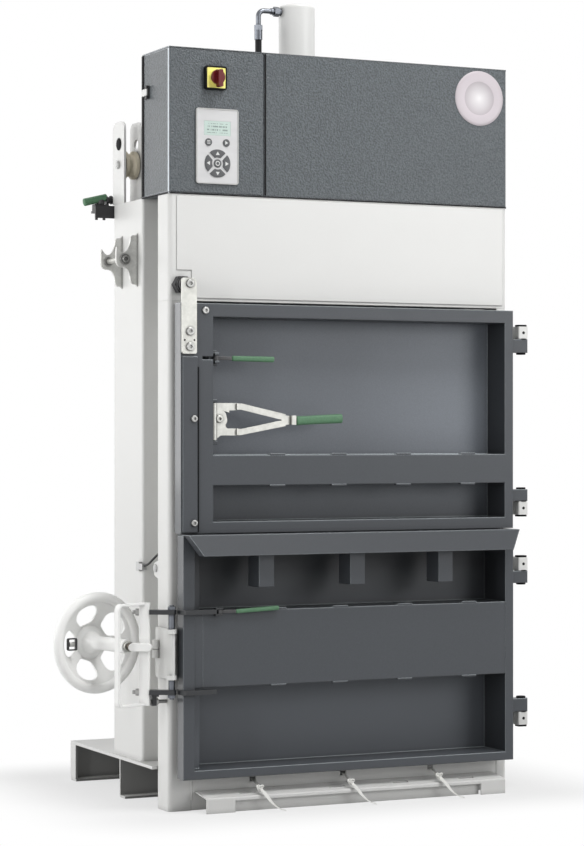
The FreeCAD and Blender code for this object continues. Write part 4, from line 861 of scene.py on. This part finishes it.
def rib_tabs(name, body, y, heights, closing=()):
    """Folded tabs along a door's rib at these heights, and the plates that close the rib's end."""
    tabs = [bar((x - 22, y, z), (x + 22, y, z), 3.0, 6.4, 1.0, power=6) for x in RIB_TABS for z in heights]
    piece(name, *many([*tabs, *closing]), finishes["door_paint"], body, "door_paint", sharp=60)


def hood_trims():
    """Black strips at the hood's rear edge, in the cabinet door's seam and along the hood's lower edge."""
    left, low, high, gasket_z = -504.6, 1604, 1976.5, 1600.2
    strips = [
        bar((left, 175, low), (left, 175, high), 2.4, 15, 2, power=4, up=(0, 1, 0)),
        bar((-228.6, -0.2, low), (-228.6, -0.2, high), 4.6, 1.8, 2, power=3, up=(0, 1, 0)),
        bar((-501, -1.0, gasket_z), (501, -1.0, gasket_z), 2.4, 3.2, 2, power=3),
        *(bar((x, 4, gasket_z), (x, 178, gasket_z), 2.4, 3.2, 2, power=3) for x in (-505.0, 505.0)),
    ]
    piece("hood_trims", *many(strips), sealing_rubber, "frame", "black_plastic", sharp=60)


def stand_plug():
    """Rubber plug in the roller's stand."""
    profile = [(POLE, -0.4), (13, -0.4), (14.4, 0), (16.8, 0.2), (16.8, 1.4), (14, 3.0), (8, 4.0), (POLE, 4.3)]
    plug = turned((-FRAME_HALF, 348, 1762), (-1, 0, 0), profile, 48)
    piece("stand_plug", *many([plug]), sealing_rubber, "frame", "black_plastic")


cover_seam_shade_strip()
rib_tabs("upper_rib_tabs", "upper_door", -52.6, (923.6, 842.4))
rib_end = bar((-446, -59.4, 323), (-446, -59.4, 521), 24.5, 2.4, 1.0, power=8, up=(0, 1, 0))
rib_tabs("lower_rib_tabs", "lower_door", -59.6, (521.6, 322.4), [rib_end])
hood_trims()
stand_plug()


# ---- rack on the side ----
RACK_OUTLINE = (  # distance from the wall, and height
    (-1, 1512), (6, 1505.5), (14, 1505), (20.5, 1500), (23, 1486), (28.5, 1471), (35, 1462), (42, 1458.8),
    (49, 1461), (55, 1467.5), (59.5, 1473.5), (62, 1468), (62.5, 1450), (62, 1433), (58, 1423.5), (50, 1419.5),
    (40, 1418.5), (32, 1415), (27, 1407), (23.5, 1396), (21, 1383), (15, 1375), (7, 1374), (-1, 1369),
    (-1, 1385), (-1, 1440), (-1, 1496),
)
RACK_Y, RACK_THICK, TUBE_Z = (211, 322), 6, 1441  # front faces of the two plates


def closed_curve(controls, steps=6):
    """Smooth closed curve through its controls: on each stretch the cubic that also leaves along the line
    between the controls beside it."""
    here = np.array(controls, float)
    before, after, beyond = (np.roll(here, places, axis=0) for places in (1, -1, -2))
    t = np.linspace(0, 1, steps, endpoint=False)[None, :, None]
    bend, twist = 2 * before - 5 * here + 4 * after - beyond, 3 * here - before - 3 * after + beyond
    terms = (2 * here, after - before, bend, twist)
    return sum(term[:, None] * t**power for power, term in enumerate(terms)).reshape(-1, 2) / 2


def rack_plate(y, thick, edge=0.9):
    """Plate square to the wall: the rack's outline carried from y to y + thick, drawn in at both faces."""
    outline = closed_curve(RACK_OUTLINE)
    ahead = round_loop(outline)
    inwards = np.stack([ahead[:, 1], -ahead[:, 0]], axis=-1)
    depth, drawn_in = np.array((0, edge, thick - edge, thick)), np.array((edge, 0, 0, edge))
    flat = outline + inwards * drawn_in[:, None, None]
    across = np.broadcast_to(y + depth[:, None], flat.shape[:2])
    return np.stack([-FRAME_HALF - flat[..., 0], across, flat[..., 1]], axis=-1)


def star_rack():
    """Two star plates on the side of the machine, and the tube between them with its cap screw."""
    (front, rear), screw_x, tube_x = RACK_Y, -541, -545
    plates = [rack_plate(y, RACK_THICK) for y in RACK_Y]
    piece("rack_plates", *many(plates), grey_zinc, "frame", "zinc_plate", "cable_rack")
    washer = [(POLE, 0), (13.4, 0), (14, 0.6), (14, 2.0), (13.6, 2.4)]
    head = [(9.4, 2.4), (9.4, 8.2), (8.6, 9), (5.6, 9), (5.2, 3.2), (POLE, 3.2)]
    nut = [(POLE, 0), (11.4, 0), (12, 0.6), (12, 2.0), (11.6, 2.4), (POLE, 2.4)]
    screws = [
        turned((screw_x, front, TUBE_Z), (0, -1, 0), washer + head, 40),
        turned((tube_x, rear, TUBE_Z), (0, -1, 0), nut, 40),
    ]
    piece("rack_screws", *many(screws), bolt_zinc, "frame", "zinc_plate")
    tube = [(POLE, 0), (6.4, 0), (7, 0.6), (7, 107.4), (6.4, 108), (POLE, 108)]
    tube = turned((tube_x, front + 5, TUBE_Z), (0, 1, 0), tube, 40)
    piece("rack_tube", *many([tube]), finishes["zinc_plate"], "frame", "zinc_plate")


star_rack()


# ---- hinges, lever hub, wheel and hose ----
def hinge_trims():
    """Washers between the hinges' blocks, caps on their ends and set screws in their front faces."""
    between, ends, screws = (1237.5, 792.5, 601.5, 214.5), (1195, 825, 563, 251), (1255, 773.5, 620, 196)
    washer = [(POLE, -1.6), (16.4, -1.6), (17, -1.0), (17, 1.0), (16.4, 1.6), (POLE, 1.6)]
    end_cap = [(POLE, 0), (12, 0), (13, 1), (13, 4), (12, 5), (POLE, 5)]
    set_screw = [(POLE, -0.5), (3.9, -0.5), (3.9, 0.3), (3.4, 0.7), (1.8, 0.7), (1.6, 0.0), (POLE, 0.0)]
    trims = [turned((*HINGE_AXIS, z), UP, washer, 48) for z in between]
    trims += [turned((*HINGE_AXIS, z), UP, end_cap, 48) for z in ends]
    trims += [turned((HINGE_AXIS[0], -40, z), (0, -1, 0), set_screw, 24) for z in screws]
    piece("hinge_trims", *many(trims), sealing_rubber, "frame", "black_plastic")


def clamp_hub():
    """Stepped black hub of the clamp lever, leaning down a little from the column's side."""
    profile = [(POLE, 0), (11, 0), (11.8, 0.8), (11.8, 6), (9, 7), (9, 13), (12.4, 14), (12.4, 19), (11.4, 20)]
    hub = turned((-500, 409, 1616), (-1, 0, -0.15), [*profile, (POLE, 20)], 48)
    piece("clamp_hub", *many([hub]), finishes["black_plastic"], "frame", "black_plastic")


def wheel_clip():
    """Spring clip in the wheel's left window: a hoop with a tongue across it, square to the spindle."""
    middle = np.array(SPINDLE_ROOT) + 170 * SPINDLE_WAY - 79 * SPINDLE_SIDE
    axes = np.stack([SPINDLE_SIDE, SPINDLE_WAY, UP])
    ring = hoop(12.5, 14.5, corner=10, wide=3.6, deep=9) @ axes + middle
    tongue = bar((-9, 0, 0), (9, 0, 0), 5, 12, 2, power=4) @ axes + middle
    black = finishes["black_plastic"]
    piece("wheel_clip", *looped(ring), black, "handwheel", "black_plastic", sharp=60)
    piece("wheel_clip_tongue", *many([tongue]), bolt_zinc, "handwheel", "zinc_plate", sharp=60)


def pressure_hose():
    """Round hose along its smooth route, from the pipe's union down behind the hood."""
    route = ((-117, 286, 2062), (-117, 286, 1940), (-117, 268, 1864), (-117, 227, 1822), (-117, 183, 1822))
    path = spline_points(route)
    thick, around = 18, 28
    u, v = (np.broadcast_to(half, (len(path), around)) for half in squircle(thick, thick, 2.0, around))
    rings = swept(path, u, v, (1, 0, 0))
    piece("rubber_hose", *many([rings]), finishes["hose_rubber"], "frame", "hose_rubber", "pressure_hose")


def spindle_thread():
    """Screw thread: rings up the spindle whose radius is the core's plus a tooth that turns once a pitch."""
    core, tooth, pitch = 8.05, 1.25, 5
    along = np.linspace(-3.0, 21.6, 100)
    angle = np.linspace(0, 2 * np.pi, 36, endpoint=False)
    phase = along[:, None] / pitch * 2 * np.pi - angle
    reach = core + tooth * (0.5 + 0.5 * np.cos(phase)) ** 0.8
    spokes = SPINDLE_SIDE * np.cos(angle)[:, None] + UP * np.sin(angle)[:, None]
    rings = np.array(SPINDLE_ROOT) + along[:, None, None] * SPINDLE_WAY + reach[..., None] * spokes
    piece("spindle_thread", *many([rings]), greased_thread, "lock_frame", "zinc_plate", sharp=70)


hinge_trims()
clamp_hub()
wheel_clip()
pressure_hose()
spindle_thread()


# ---- welds ----
def weld(start, end, seed, radius=2.0):
    """Weld bead: a round bar along a seam whose thickness rises and falls once for each puddle."""
    length, step, puddle, slow = math.dist(start, end), 1.1, 4.2, 17
    up = (0, 0, 1) if abs(end[2] - start[2]) < 0.5 * length else (0, 1, 0)
    inner = max(6, int(length / step)) - 2

    def ripple(along):
        humps = np.abs(np.sin(along / puddle * np.pi + seed))
        return 1 + 0.10 * humps + 0.06 * np.sin(along / slow + 2 * seed)

    return bar(start, end, 2 * radius, 2 * radius, radius, 2.0, up, 5, inner, around=12, swell=ripple)


def frame_welds():
    """Beads at the posts' feet, the hinge blocks, the columns' feet and the lock's bracket."""
    hinge_blocks = ((1240, 1270), (757, 790), (604, 636), (180, 212))
    seams = [
        ((-440, 0.3, 104), (-440, 0.3, 26)),
        ((472, 0.3, 104), (472, 0.3, 26)),
        ((-440, 3, 104.5), (-440, 16, 104.5)),
        *(((504.5, 30.5, low), (504.5, 30.5, high)) for low, high in hinge_blocks),
        *(((x, 186, 110.3), (x, 384, 110.3)) for x in (-504.2, 504.2)),
        ((-498, 389.3, 110.5), (-408, 389.3, 110.5)),
        ((408, 389.3, 110.5), (498, 389.3, 110.5)),
        ((-510, 12, 345.3), (-510, 60, 345.3)),
    ]
    beads = [weld(start, end, 0.7 * number) for number, (start, end) in enumerate(seams)]
    piece("frame_welds", *many(beads), finishes["white_paint"], "frame", "white_paint", sharp=80)


frame_welds()


# ---- floor, light and camera ----
def floor():
    """Pale floor that fades into the white around it, and keeps the baler's shadow where it stands."""
    reach, half_x, half_y, middle_y, fade, least = 60, 0.55, 0.40, 0.05, 0.38, 0.64
    corners = [(-reach, -reach, 0), (reach, -reach, 0), (reach, reach, 0), (-reach, reach, 0)]
    mesh = bpy.data.meshes.new("floor")
    mesh.from_pydata(corners, [], [(0, 1, 2, 3)])
    ground = placed("floor", mesh)
    finish = Finish("pale_floor", roughness=0.9)
    finish.set("Base Color", (0.60, 0.60, 0.60))
    aside = (finish.along("X").size() - half_x).at_least(0.0)
    ahead = ((finish.along("Y") - middle_y).size() - half_y).at_least(0.0)
    away = aside.diagonal(ahead).between(0.0, fade)
    eased = away * away * (3 - 2 * away)
    white = finish.node("ShaderNodeEmission", sockets={"Color": (1, 1, 1), "Strength": 1.0})
    share = finish.looked_at() * (least + (1 - least) * eased)
    paint = Value(finish, finish.shader.outputs[0])
    mix = finish.node("ShaderNodeMixShader", sockets={0: share, 1: paint, 2: white})
    finish.ends_in("Material Output", mix)
    mesh.materials.append(finish.material)


def lamp(name, place, aim, size, power):
    """Softbox of a width and a height that faces the point aim."""
    light = bpy.data.lights.new(name, "AREA")
    light.shape = "RECTANGLE"
    light.size, light.size_y = size
    light.energy = power
    holder = placed(name, light)
    back = np.array(place) - np.array(aim)
    turn = math.atan2(back[0], -back[1])
    tilt = math.atan2(math.hypot(back[0], back[1]), back[2])
    holder.location = place
    holder.rotation_euler = (tilt, 0, turn)


def studio():
    """White surround for what is looked at, an even fill, a high softbox at the right, a low reflector in
    front of it, a softbox and a strip at the left, and a strip behind."""
    world = bpy.data.worlds.new("studio")
    world.use_nodes = True
    sky = Graph(world.node_tree)
    fill = sky.node("ShaderNodeBackground", sockets={"Color": (1, 1, 1), "Strength": 0.27})
    surround = sky.node("ShaderNodeBackground", sockets={"Color": (1, 1, 1), "Strength": 1.0})
    shares = {0: sky.looked_at(), 1: fill, 2: surround}
    sky.ends_in("World Output", sky.node("ShaderNodeMixShader", sockets=shares))
    bpy.context.scene.world = world
    lamp("key_softbox", (0.8, -2.5, 5.5), (0, -0.3, 1.2), (2.0, 2.0), 178)
    lamp("low_reflector", (3.4, -5.0, 2.2), (0, -0.3, 1.5), (2.6, 2.0), 82)
    lamp("left_softbox", (-5.0, 1.5, 2.0), (-0.5, 0.0, 1.1), (3.0, 3.0), 104)
    lamp("left_strip", (-4.8, -2.4, 1.8), (-0.3, -0.2, 1.1), (0.5, 2.6), 45)
    lamp("rear_strip", (-2.8, 4.8, 2.2), (-0.5, 0.0, 1.4), (2.4, 3.0), 30)


def camera():
    """The photograph's camera: level, seen from the front and 25.5 degrees to the left."""
    lens = bpy.data.cameras.new("camera")
    frame_high, focal_pixels, horizon_below_middle = 846, 2492.0, 11
    lens.lens = focal_pixels / frame_high * lens.sensor_width
    lens.shift_y = horizon_below_middle / frame_high
    lens.clip_start, lens.clip_end = 0.5, 200
    holder = placed("camera", lens)
    holder.location = (-2.9872, -6.2325, 0.9768)
    holder.rotation_euler = (math.radians(90), 0, math.radians(-25.5))
    bpy.context.scene.camera = holder


floor()
studio()
camera()
bpy.context.scene.view_settings.view_transform = "Standard"
